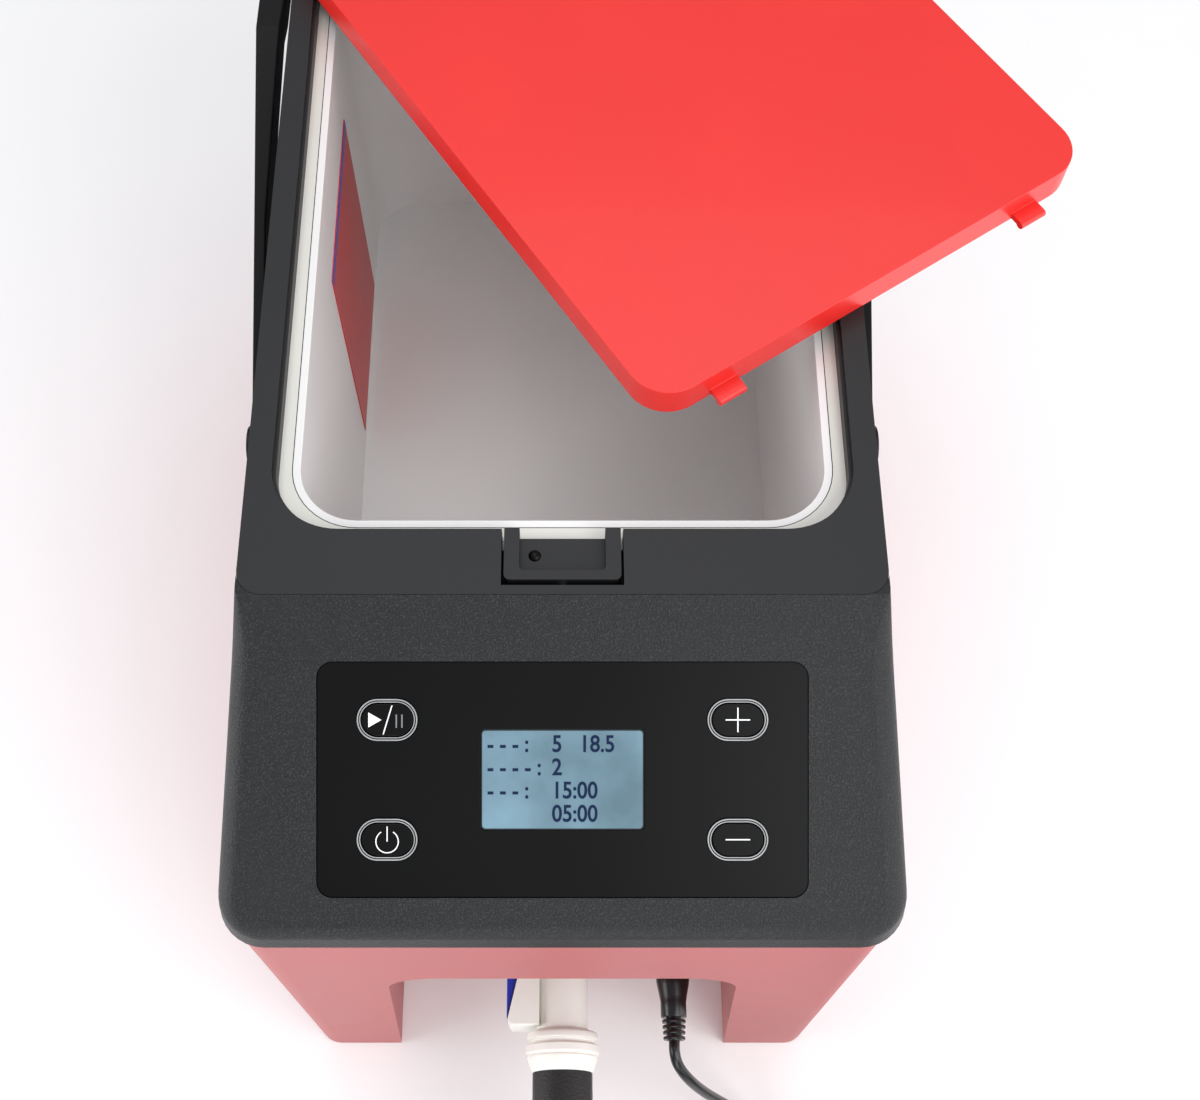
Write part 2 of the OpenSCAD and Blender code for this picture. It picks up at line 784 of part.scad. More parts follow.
module latch_button() {
    color("#39393b") difference() {
        union() {
            difference() {
                rounded_box(-latch_hx, latch_hx, -latch_front, -mouth_front + 4, 2,
                    deck_top + 0.1, latch_top);
                translate([-30, -mouth_front - 0.2, deck_top - 1]) cube([60, 20, 20]);
                translate([-30, -flange_front - loose - latch_travel, deck_top - 1])
                    cube([60, 30, flange_z - deck_top + 1.2]);
            }
        }
        rounded_box(-latch_hx + 5, latch_hx - 5, -latch_front + 3.4, 0, 1.5,
            latch_top - 3.6, latch_top + 1);
        translate([-latch_hx + 5, -mouth_front - 2.4, deck_top]) cube([2 * latch_hx - 10, 9, 20]);
        rod_y(0, spring_z, spring_r + 0.4, latch_front - spring_len - 2.5, latch_front + 1);
    }
}

module latch_spring() {
    color("silver") difference() {
        rod_y(0, spring_z, spring_r, latch_front - spring_len + 2, pocket_front);
        rod_y(0, spring_z, spring_r - 0.5, latch_front - spring_len, pocket_front + 1);
    }
}

module latch_lens() {
    color("#0c0c0e") translate([-9, -mouth_front - 8.6, latch_top - 3.6])
        rotate_extrude() intersection() {
            translate([0, -1.2]) circle(r = 2.4);
            square([3, 3]);
        }
}

// ---- Lid ----

module on_lid() {
    translate([lid_at[0], lid_at[1], rim_z]) rotate([0, 0, lid_turn]) children();
}

// Space of the lid drawn in by g
module lid_form(g, z0, z1) {
    rounded_box(-lid_w / 2 + g, lid_w / 2 - g, -lid_l / 2 + g, lid_l / 2 - g, lid_r - g, z0, z1);
}

module lid_shell() {
    color("#e8352f") on_lid() {
        difference() {
            lid_form(0, 0, lid_h);
            lid_form(lid_wall, -1, lid_h - lid_wall);
        }
        for (x = [-1, 1]) {
            translate([x * tab_x - tab_w / 2, -lid_l / 2 - tab_out + 1.6, 1.2])
                cube([tab_w, tab_out, 2.4]);
            translate([x * tab_x - tab_w / 2, -lid_l / 2 - tab_out + 1.6, 2])
                rotate([0, 90, 0]) cylinder(h = tab_w, r = 1.6);
        }
        translate([-12, lid_l / 2 - 1, 2]) cube([24, 2.6, 2.6]);
    }
}

module lid_liner() {
    color("#f1efec") on_lid() lid_form(lid_wall + loose, liner_z, liner_z + liner_t);
}

module lid_insulation() {
    color("#e6e2d6") on_lid()
        lid_form(lid_wall + loose, liner_z + liner_t, lid_h - lid_wall);
}

module lid_seal() {
    color("#3a3a3a") on_lid() difference() {
        lid_form(lid_wall + 1.5, 0.2, liner_z);
        lid_form(lid_wall + 6, 0, liner_z + 1);
    }
}

// ---- Handle ----

// Straight bar of the arm's outline between two points in the Y-Z plane
module arm_bar(a, b, h) {
    d = b - a;
    translate([a[0], a[1]]) rotate([0, 0, atan2(d[1], d[0])])
        translate([0, -h / 2]) square([norm(d), h]);
}

// Outline of one arm, pivot at its own place, drawn in the Y-Z plane
module arm_outline() {
    translate([-pivot_y, pivot_z]) circle(r = hub_r);
    arm_bar([-pivot_y, pivot_z], bend_at, arm_h);
    translate(bend_at) circle(d = arm_h);
    arm_bar(bend_at, bar_at, arm_h);
    translate(bar_at) circle(r = bail_r + 1.5);
}

// Plan of one arm: its inner face comes in behind the pivot, as the case leans away
module arm_plan() {
    polygon([[arm_x, -2 * hub_r], [arm_x, taper_y[0]], [arm_x - taper_in, taper_y[1]],
        [arm_x - taper_in, bar_at[0] + 2 * bail_r], [bail_hx, bar_at[0] + 2 * bail_r],
        [bail_hx, -2 * hub_r]]);
}

module handle_bail() {
    color("#242426") difference() {
        union() {
            for (s = [0, 1]) mirror([s, 0, 0]) intersection() {
                translate([arm_x - taper_in, 0, 0])
                    rotate([90, 0, 90]) linear_extrude(arm_t + taper_in) arm_outline();
                linear_extrude(2 * rim_z) arm_plan();
            }
            translate([-arm_x, bar_at[0], bar_at[1]]) rotate([0, 90, 0])
                cylinder(h = 2 * arm_x, r = bail_r);
        }
        rods_x(-pivot_y, pivot_z, pivot_r + pivot_fit, arm_x - 1, bail_hx + 1);
    }
}

module handle_grip() {
    color("#19191b") translate([-grip_l / 2, bar_at[0], bar_at[1]]) rotate([0, 90, 0])
        difference() {
            cylinder(h = grip_l, r = grip_r);
            translate([0, 0, -1]) cylinder(h = grip_l + 2, r = bail_r + 0.1);
        }
}

module pivot_bolts() {
    color("#8d9095") {
        rods_x(-pivot_y, pivot_z, pivot_r, base_hx - base_wall - nut_t - 1, bail_hx + 0.3);
        rods_x(-pivot_y, pivot_z, 8, bail_hx + 0.2, bail_hx + 0.2 + bolt_head_t);
    }
}

module pivot_washers() {
    color("#b9bcc0") difference() {
        rods_x(-pivot_y, pivot_z, 9, washer_x, washer_x + washer_t);
        rods_x(-pivot_y, pivot_z, pivot_r + 0.1, washer_x - 1, washer_x + washer_t + 1);
    }
}

module pivot_nuts() {
    color("#b9bcc0") difference() {
        for (s = [0, 1]) mirror([s, 0, 0])
            translate([base_hx - base_wall - nut_t, -pivot_y, pivot_z]) rotate([0, 90, 0])
                cylinder(h = nut_t, r = 7.5, $fn = 6);
        rods_x(-pivot_y, pivot_z, pivot_r + 0.05, base_hx - base_wall - nut_t - 1, base_hx);
    }
}

// ---- Pumps ----

module at_pump() {
    translate([pump_at[0], pump_at[1], 0]) children();
}

module at_air() {
    translate([air_at[0], air_at[1], 0]) children();
}

module pump_motor() {
    color("#6f7378") at_pump() difference() {
        translate([0, 0, cover_t]) cylinder(h = motor_top - cover_t, r = motor_r);
        translate([0, 0, motor_top - 6]) cylinder(h = 7, r = shaft_r + shaft_fit);
    }
}

module pump_housing() {
    color("#2d2f33") at_pump() difference() {
        union() {
            translate([0, 0, motor_top]) cylinder(h = volute_top - motor_top, r = volute_r);
            translate([0, 0, volute_top - 1]) cylinder(h = 15, r = barb_r);
            rod_y(supply_x - pump_at[0], supply_port_z, barb_r, 0, volute_r + 14);
        }
        translate([0, 0, motor_top + 4])
            cylinder(h = volute_top - motor_top - 8, r = volute_r - 3);
        translate([0, 0, motor_top - 1]) cylinder(h = 8, r = shaft_r + shaft_fit);
        translate([0, 0, volute_top - 5]) cylinder(h = 22, r = nozzle_bore);
        rod_y(supply_x - pump_at[0], supply_port_z, 2.4, 0, volute_r + 15);
    }
}

module pump_impeller() {
    color("#d8d8d4") at_pump() {
        translate([0, 0, motor_top - 5]) cylinder(h = 14, r = shaft_r);
        translate([0, 0, motor_top + 6]) cylinder(h = 2.4, r = volute_r - 5);
        translate([0, 0, motor_top + 6]) cylinder(h = 8, r = 5);
        for (a = [0:60:300]) rotate([0, 0, a])
            translate([4, -0.8, motor_top + 8]) cube([volute_r - 11, 1.6, 6]);
    }
}

module air_pump_motor() {
    color("#6f7378") at_air() difference() {
        translate([0, 0, cover_t]) cylinder(h = air_motor_top - cover_t, r = air_motor_r);
        translate([0, 0, air_motor_top - 6]) cylinder(h = 7, r = shaft_r + shaft_fit);
    }
}

module air_pump_body() {
    color("#3b3f45") at_air() difference() {
        union() {
            translate([0, 0, air_motor_top]) cylinder(h = case_top - air_motor_top, r = case_r);
            translate([0, 0, case_top - 1]) cylinder(h = air_head_top - case_top + 1, r = 16);
            rod_y(0, air_port_z, air_barb_r, 0, 32);
        }
        translate([0, 0, air_motor_top + 3])
            cylinder(h = case_top - air_motor_top - 6, r = case_r - 3);
        translate([0, 0, air_motor_top - 1]) cylinder(h = 8, r = shaft_r + shaft_fit);
        rod_y(0, air_port_z, 1.8, 6, 33);
    }
}

module air_pump_crank() {
    color("#b9bcc0") at_air() {
        translate([0, 0, air_motor_top - 5]) cylinder(h = 12, r = shaft_r);
        translate([0, 0, air_motor_top + 5]) cylinder(h = 4, r = 12);
        translate([6, 0, air_motor_top + 8]) cylinder(h = 6, r = 3);
    }
}

module valve_block() {
    color("#e4e1da") at_air() difference() {
        translate([-10, -10, air_head_top]) cube([20, 20, valve_top - air_head_top]);
        translate([0, 0, air_head_top + 4]) cylinder(h = 40, r = plunger_r + 0.1);
    }
}

module valve_plunger() {
    color("#c9b26a") at_air()
        translate([0, 0, air_head_top + 4.3]) cylinder(h = valve_top - air_head_top - 1,
            r = plunger_r);
}

// ---- Flexible tubes inside ----

module suction_tube() {
    color("#dfe6e8") translate([outlet[0], outlet[1], volute_top + loose]) difference() {
        cylinder(h = tub_under - nozzle_h + 12 - volute_top, r = hose_out);
        translate([0, 0, -1]) cylinder(h = 80, r = hose_in);
    }
}

module supply_tube() {
    color("#dfe6e8") tube([[supply_x, -68, supply_port_z], [supply_x, -82, supply_port_z],
        [supply_x + 3, -92, 62], [-56, -98, 67], [-40, -99, 73], [-26, -97, 77],
        [-16, -99, 79.5], [-barb_x, -107, port_z], [-barb_x, -123, port_z]],
        hose_out, hose_in, 10);
}

module return_tube() {
    color("#dfe6e8") tube([[0, -123, port_z], [0, -108, port_z], [1, -92, 80], [6, -68, 81],
        [13, -44, 84], [18, -28, 89], [20, -21, 96], [inlet[0], inlet[1], 103],
        [inlet[0], inlet[1], 114]], hose_out, hose_in, 10);
}

module air_tube() {
    color("#dfe6e8") tube([[air_at[0], -64, air_port_z], [air_at[0], -82, air_port_z],
        [47, -92, 71], [38, -99, 74], [26, -100, 77], [16, -101, 79.5],
        [barb_x, -108, port_z], [barb_x, -123, port_z]], air_out, air_in, 10);
}

// ---- Ports in the arch ----

module hose_socket() {
    color("#efede8") difference() {
        union() {
            translate([0, -arch_back, port_z]) rotate([90, 0, 0])
                linear_extrude(socket_front - arch_back) rounded(52, 40, 4);
            translate([-socket_hx, -arch_back - eps, port_z - socket_hz])
                cube([2 * socket_hx, 15, 2 * socket_hz]);
            for (x = [-barb_x, 0]) rod_y(x, port_z, barb_r, barb_back, arch_back - 14);
            rod_y(barb_x, port_z, air_barb_r, barb_back, arch_back - 14);
        }
        for (x = [-barb_x, 0]) rod_y(x, port_z, 2.6, barb_back - 1, arch_back + 10);
        rod_y(barb_x, port_z, 1.8, barb_back - 1, arch_back + 10);
    }
}

module power_inlet() {
    color("#1c1c1e") {
        difference() {
            union() {
                rod_y(plug_x, port_z, 9, arch_back, jack_front);
                rod_y(plug_x, port_z, jack_r, arch_back - 16, arch_back + 1);
            }
            rod_y(plug_x, port_z, 3.4, arch_back - 4, jack_front + 1);
        }
        rod_y(plug_x, port_z, 1, arch_back - 6, jack_front - 4);
    }
}

// Plan of the white lug beside the neck, and of the lever beside that
module lug_plan() {
    polygon([[-neck_r + 1, -neck_front + 1], [-20.5, -neck_front + 1], [-22, -neck_front + 3],
        [-18.5, -187], [-14, -head_front - 1], [-14, -head_front + 1],
        [-neck_r + 1, -head_front + 1]]);
}

module lever_plan() {
    polygon([[-22.4, -neck_front + 4], [-18.9, -187], [-14.4, -head_front - 1],
        [-14.4, -head_front + 14], [-22.4, -head_front + 14]]);
}

module hose_connector() {
    color("#f4f1ec") difference() {
        union() {
            translate([-5, -socket_front, port_z]) rotate([90, 0, 0])
                linear_extrude(head_front - socket_front) rounded(38, 32, 4);
            rod_y(0, port_z, neck_r, head_front - 1, neck_front);
            rod_y(0, port_z, 8, neck_front - 1, collar_front - 2.5);
            translate([0, 0, port_z - lug_hz]) linear_extrude(2 * lug_hz) lug_plan();
        }
        rod_y(0, port_z, 6, socket_front + 4, collar_front);
        translate([-23, -head_front - 1, port_z - 7 - lever_travel - 0.6])
            cube([9, 1 + 14.6, 14 + lever_travel + 0.9]);
    }
}

module release_lever() {
    color("#2337a0") translate([0, 0, port_z - 7]) linear_extrude(14) lever_plan();
}

module hose_collar() {
    color("#f4f1ec") translate([0, -neck_front, port_z]) rotate([90, 0, 0]) rotate_extrude()
        polygon([[8.15, 0], [10.5, 0], [13.6, 1.6], [14.5, 3], [14.5, 5], [13, 5], [13, 7],
            [14.3, 7.6], [14.75, 9.6], [14.3, 11], [hose_r, collar_front - neck_front],
            [8.15, collar_front - neck_front]]);
}

module hose() {
    color("#1d1d1f") cord(hose_route, hose_r, 12);
}

// Route of the hose's flat coil, clockwise from its landing point, then straight
hose_ring = 24;
hose_coil_route = concat([[hose_coil_in, -430, hose_z]],
    [for (i = [0:hose_ring * hose_turns]) let (a = -360 * i / hose_ring,
        r = hose_coil_in + (hose_coil_out - hose_coil_in) * i / (hose_ring * hose_turns))
        [hose_coil_at[0] + r * cos(a), hose_coil_at[1] + r * sin(a), hose_z]],
    [[hose_coil_at[0] - hose_coil_out, hose_coil_at[1] + 24, hose_z]]);

module hose_coil() {
    color("#1d1d1f") cord(hose_coil_route, hose_r, 8);
}

module hose_end() {
    color("#f4f1ec") translate([-hose_coil_out, hose_coil_at[1] + 24, hose_z])
        rotate([-90, 0, 0]) rotate_extrude()
            polygon([[0, 0], [hose_r, 0], [hose_r, 8], [11, 9], [11, 11], [hose_r, 12],
                [hose_r, 34], [8, 36], [8, 58], [6.5, 60], [0, 60]]);
}

module dc_plug() {
    color("#161618") translate([plug_x, -jack_front, port_z]) rotate([90, 0, 0]) {
        rotate_extrude() polygon([[0, 0], [6.2, 0], [6.75, 2], [6.75, 26.5], [5.2, 34],
            [5.2, 40], [3, 40], [3, 49], [0, 49]]);
        for (i = [0:3]) translate([0, 0, 40.9 + 2.2 * i])
            cylinder(h = 1.2, r = 4.8 - 0.12 * i);
        translate([0, 0, -20]) difference() {
            cylinder(h = 21, r = 2.75);
            translate([0, 0, -1]) cylinder(h = 18, r = 1.3);
        }
    }
}

module dc_lead() {
    color("#161618") {
        cord(lead_route, lead_r, 8);
        cord(tail_route, lead_r, 8);
    }
}

// Route of the lead's two-layer coil: in on the floor, up at the middle, out again
lead_rings = 24;
lead_total = 2 * lead_turns + climb_turns;
function lead_coil_r(t) = let (w = lead_coil_out - lead_coil_in)
    t < lead_turns ? lead_coil_out - w * t / lead_turns
    : t < lead_turns + climb_turns
        ? lead_coil_in - climb_dip * sin(180 * (t - lead_turns) / climb_turns)
        : lead_coil_in + w * (t - lead_turns - climb_turns) / lead_turns;
function lead_coil_z(t) = lead_z + lead_layer
    * min(1, max(0, (t - lead_turns) / climb_turns));
lead_coil_route = concat([[150, -240, lead_z]],
    [for (i = [0:lead_rings * lead_total]) let (t = i / lead_rings, a = 90 - 360 * t)
        [lead_coil_at[0] + lead_coil_r(t) * cos(a), lead_coil_at[1] + lead_coil_r(t) * sin(a),
            lead_coil_z(t)]],
    [[lead_coil_at[0] + lead_coil_out, lead_coil_at[1] - 5, lead_z + lead_layer]]);

module dc_coil() {
    color("#161618") cord(lead_coil_route, lead_r, 6);
}

module adapter() {
    color("#161618") translate([adapter_at[0], adapter_at[1], 0]) {
        translate([0, 0, 10]) rotate([90, 0, 0]) cylinder(h = 9, r = 3.6);
        rounded_box(-adapter_w / 2, adapter_w / 2, -8 - adapter_l, -8, 5, 0, adapter_h);
    }
    color("silver") for (x = [-1, 1])
        translate([adapter_at[0] + x * pin_gap / 2, adapter_at[1] - 8 - adapter_l + 1,
            adapter_h / 2]) rotate([90, 0, 0]) cylinder(h = pin_l + 1, r = pin_r);
}

// Least gap between turns of a coil, over points more than half a turn apart
function least_gap(p, r, apart) = min([for (i = [0:len(p) - 1], j = [i + apart:len(p) - 1])
    if (j < len(p)) norm(p[i] - p[j])]) - 2 * r;
echo(hose_coil_gap = least_gap(hose_coil_route, hose_r, 12));
echo(lead_coil_gap = least_gap(lead_coil_route, lead_r, 12));

lower_shell();
base_cover();
rubber_feet();
cover_screws();
body_screws();
upper_shell();
top_frame();
control_panel();
button_rings();
lcd_window();
lcd_module();
button_play();
button_power();
button_plus();
button_minus();
keypad_board();
main_board();
board_screws();
tub();
tub_insulation();
tub_gasket();
fill_label();
tub_strainer();
temperature_probe();
latch_button();
latch_spring();
latch_lens();
lid_shell();
lid_liner();
lid_insulation();
lid_seal();
handle_bail();
handle_grip();
pivot_bolts();
pivot_washers();
pivot_nuts();
pump_motor();
pump_housing();
pump_impeller();
air_pump_motor();
air_pump_body();
air_pump_crank();
valve_block();
valve_plunger();
suction_tube();
supply_tube();
return_tube();
air_tube();
hose_socket();
power_inlet();
hose_connector();
release_lever();
hose_collar();
hose();
hose_coil();
hose_end();
dc_plug();
dc_lead();
dc_coil();
adapter();
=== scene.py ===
"""Looks of a hot and cold therapy machine, in metres, in the frame of its CAD model."""
import json
import math
import bmesh
import bpy
from mathutils import Matrix, Vector


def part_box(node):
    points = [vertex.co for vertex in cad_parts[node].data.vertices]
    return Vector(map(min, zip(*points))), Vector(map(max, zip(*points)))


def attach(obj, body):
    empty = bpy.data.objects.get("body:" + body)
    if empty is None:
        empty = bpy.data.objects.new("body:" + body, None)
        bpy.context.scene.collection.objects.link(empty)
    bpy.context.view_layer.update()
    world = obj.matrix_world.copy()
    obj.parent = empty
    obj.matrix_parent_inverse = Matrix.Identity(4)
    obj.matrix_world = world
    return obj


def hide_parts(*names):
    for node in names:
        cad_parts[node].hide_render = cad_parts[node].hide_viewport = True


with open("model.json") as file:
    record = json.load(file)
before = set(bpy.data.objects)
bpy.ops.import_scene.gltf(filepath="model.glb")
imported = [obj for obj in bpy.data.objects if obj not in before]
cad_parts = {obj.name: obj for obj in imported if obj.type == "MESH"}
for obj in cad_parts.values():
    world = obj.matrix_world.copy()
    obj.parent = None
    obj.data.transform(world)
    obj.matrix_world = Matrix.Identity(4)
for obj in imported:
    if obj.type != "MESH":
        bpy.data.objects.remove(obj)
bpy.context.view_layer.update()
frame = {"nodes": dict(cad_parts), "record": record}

MM = 0.001
BODY_OF = {n: b for b, nodes in frame["record"]["behaviour"]["bodies"].items() for n in nodes}

# ---- Driving sizes, in millimetres, as in the part's source ----
# Rim of the case, crease at the slope's top, and the places of the panel and its buttons
RIM_Z = 280
CREASE_Y = 101.2
SLOPE = math.radians(25.5)
PANEL_S = 59.1
PANEL_TOP = -0.4
BUTTON_X = 55.8
BUTTON_GAP = 38.1
# Half width and half length of the lower shell, its seam, and the tub's mouth and flange
BASE_HX = 109.3
BASE_HY = 198
SEAM_Z = 223
TUB_W = 176
TUB_FRONT = -71
TUB_REAR = 177
FLANGE_Z = 272
# Height of the ports' axes in the arch, and fronts of the connector's neck and the inlet
PORT_Z = 80
NECK_FRONT = -205
INLET_X = 45
INLET_FRONT = -160
# Hose: radius, height of its coil's centre line, route down to the floor, coil and end
HOSE_R = 12.0
HOSE_Z = 12.2
HOSE_DOWN_Y = -430
# The hose is drawn this much thinner than its solid
HOSE_EASE = 0.05
HOSE_ROUTE = [(0, -221.5, 80), (0, -236, 80), (0, -250, 80), (4, -278, 78), (14, -304, 71),
              (30, -325, 60), (51, -340, 47), (67, -360, 38), (80, -380, 28), (90, -400, 20),
              (98, -415, 14.5), (102, -424, 12.2), (102, -430, 12.2)]
HOSE_COIL_AT = (0, -454)
HOSE_COIL_IN = 102
HOSE_COIL_OUT = 148
HOSE_TURNS = 1.5
HOSE_END_RUN = 24
HOSE_END_AT = (HOSE_COIL_AT[0] - HOSE_COIL_OUT, HOSE_COIL_AT[1] + HOSE_END_RUN)
# Power lead, in the same order, with a coil in two layers
LEAD_R = 2.2
LEAD_Z = 2.3
LEAD_ROUTE = [(45, -209, 80), (45, -213.5, 80), (46.5, -218, 77), (51, -222, 68), (58, -225, 53),
              (66, -227, 37), (74, -229, 23), (83, -232, 12), (94, -236, 5), (107, -238, 2.3),
              (124, -240, 2.3), (145, -240, 2.3), (150, -240, 2.3)]
LEAD_DOWN = (150, -240)
LEAD_COIL_AT = (155, -275)
LEAD_COIL_IN = 18
LEAD_COIL_OUT = 35
LEAD_LAYER = 5
LEAD_TURNS = 3.375
CLIMB_TURNS = 0.5
CLIMB_DIP = 1.6
TAIL_ROUTE = [(190, -280, 7.3), (190, -286, 7.4), (188, -298, 8), (181, -310, 9),
              (174, -318, 9.5), (172, -325, 10), (172, -330, 10)]
# Mains adapter and its pins
ADAPTER_W = 42
ADAPTER_L = 58
ADAPTER_H = 28
ADAPTER_Z = 0.05
ADAPTER_R = 5
ADAPTER_BEVEL = 1.6
RELIEF_AT = (172, -330, 10)
RELIEF_L = 8
RELIEF_RIBS = 4
ADAPTER_AT = (RELIEF_AT[0], RELIEF_AT[1] - RELIEF_L - ADAPTER_L / 2)
ADAPTER_SEAM = (17.2, 17.6)
PIN_R = 2
PIN_GAP = 19
PIN_L = 19


# ---- Camera, in metres, as fitted to the photograph ----
CAMERA_AT = (0, -0.307, 0.744)
CAMERA_LENS = 47.85
CAMERA_SENSOR = 36
CAMERA_SHIFT = 0.03125
CAMERA_NEAR = 0.01


def make_camera():
    """The photograph's camera."""
    data = bpy.data.cameras.new("camera")
    data.sensor_width = CAMERA_SENSOR
    data.lens = CAMERA_LENS
    data.shift_x = CAMERA_SHIFT
    data.clip_start = CAMERA_NEAR
    camera = bpy.data.objects.new("camera", data)
    camera.location = CAMERA_AT
    camera.rotation_euler = (SLOPE, 0, 0)
    bpy.context.collection.objects.link(camera)
    bpy.context.scene.camera = camera


# ---- Materials ----
COAT_ROUGH = 0.08
# Ends of the noise over which a patch turns from its darker to its lighter tint
PATCH_RANGE = (0.3, 0.7)
PATCH_DETAIL = 4
# How far the roughness goes down and up over a patch
SMUDGE = (0.06, 0.08)
GRAIN_DETAIL = 2
# Ends of the noise over which a painted glint speck shows, and its lighter tint: factor and
# addition
GLINT_SPECK_RANGE = (0.52, 0.68)
GLINT_SPECK_TINT = (4, 0.02)
RELIEF_DEPTH = 0.0004


def link(tree, a, b):
    tree.links.new(a, b)


def material(name, color, rough=0.45, metal=0.0, bump=0.0, grain=2200.0, vary=0.06,
             patch=35.0, coat=0.0, glow=0.0, glint_speck=0.0, shine=0.5):
    """Plastic, metal or rubber with patchy colour, uneven roughness, fine grain and painted glint
    specks.
    """
    mat = bpy.data.materials.new(name)
    mat.use_nodes = True
    tree = mat.node_tree
    shader = tree.nodes["Principled BSDF"]
    shader.inputs["Metallic"].default_value = metal
    shader.inputs["Specular IOR Level"].default_value = shine
    shader.inputs["Coat Weight"].default_value = coat
    shader.inputs["Coat Roughness"].default_value = COAT_ROUGH
    place = tree.nodes.new("ShaderNodeTexCoord")
    broad = tree.nodes.new("ShaderNodeTexNoise")
    broad.inputs["Scale"].default_value = patch
    broad.inputs["Detail"].default_value = PATCH_DETAIL
    link(tree, place.outputs["Object"], broad.inputs["Vector"])
    ramp = tree.nodes.new("ShaderNodeValToRGB")
    for end, spot, share in zip(ramp.color_ramp.elements, PATCH_RANGE, (1 - vary, 1 + vary)):
        end.position = spot
        end.color = [min(1, c * share) for c in color] + [1]
    link(tree, broad.outputs["Fac"], ramp.inputs["Fac"])
    tint = ramp.outputs["Color"]
    link(tree, tint, shader.inputs["Base Color"])
    smudge = tree.nodes.new("ShaderNodeMapRange")
    smudge.inputs["To Min"].default_value = max(0.02, rough - SMUDGE[0])
    smudge.inputs["To Max"].default_value = min(1, rough + SMUDGE[1])
    link(tree, broad.outputs["Fac"], smudge.inputs["Value"])
    link(tree, smudge.outputs["Result"], shader.inputs["Roughness"])
    fine = tree.nodes.new("ShaderNodeTexNoise")
    fine.inputs["Scale"].default_value = grain
    fine.inputs["Detail"].default_value = GRAIN_DETAIL
    link(tree, place.outputs["Object"], fine.inputs["Vector"])
    # Lighter specks in the colour: painted glints of a textured finish
    if glint_speck:
        glint_mask = tree.nodes.new("ShaderNodeMapRange")
        glint_mask.inputs["From Min"].default_value = GLINT_SPECK_RANGE[0]
        glint_mask.inputs["From Max"].default_value = GLINT_SPECK_RANGE[1]
        glint_mask.inputs["To Max"].default_value = glint_speck
        link(tree, fine.outputs["Fac"], glint_mask.inputs["Value"])
        dots = tree.nodes.new("ShaderNodeMixRGB")
        lighter = [min(1, c * GLINT_SPECK_TINT[0] + GLINT_SPECK_TINT[1]) for c in color]
        dots.inputs["Color2"].default_value = lighter + [1]
        link(tree, glint_mask.outputs["Result"], dots.inputs["Fac"])
        link(tree, tint, dots.inputs["Color1"])
        tint = dots.outputs["Color"]
        link(tree, tint, shader.inputs["Base Color"])
    if bump:
        relief = tree.nodes.new("ShaderNodeBump")
        relief.inputs["Strength"].default_value = bump
        relief.inputs["Distance"].default_value = RELIEF_DEPTH
        link(tree, fine.outputs["Fac"], relief.inputs["Height"])
        link(tree, relief.outputs["Normal"], shader.inputs["Normal"])
    if glow:
        link(tree, tint, shader.inputs["Emission Color"])
        shader.inputs["Emission Strength"].default_value = glow
    return mat


MATS = {}


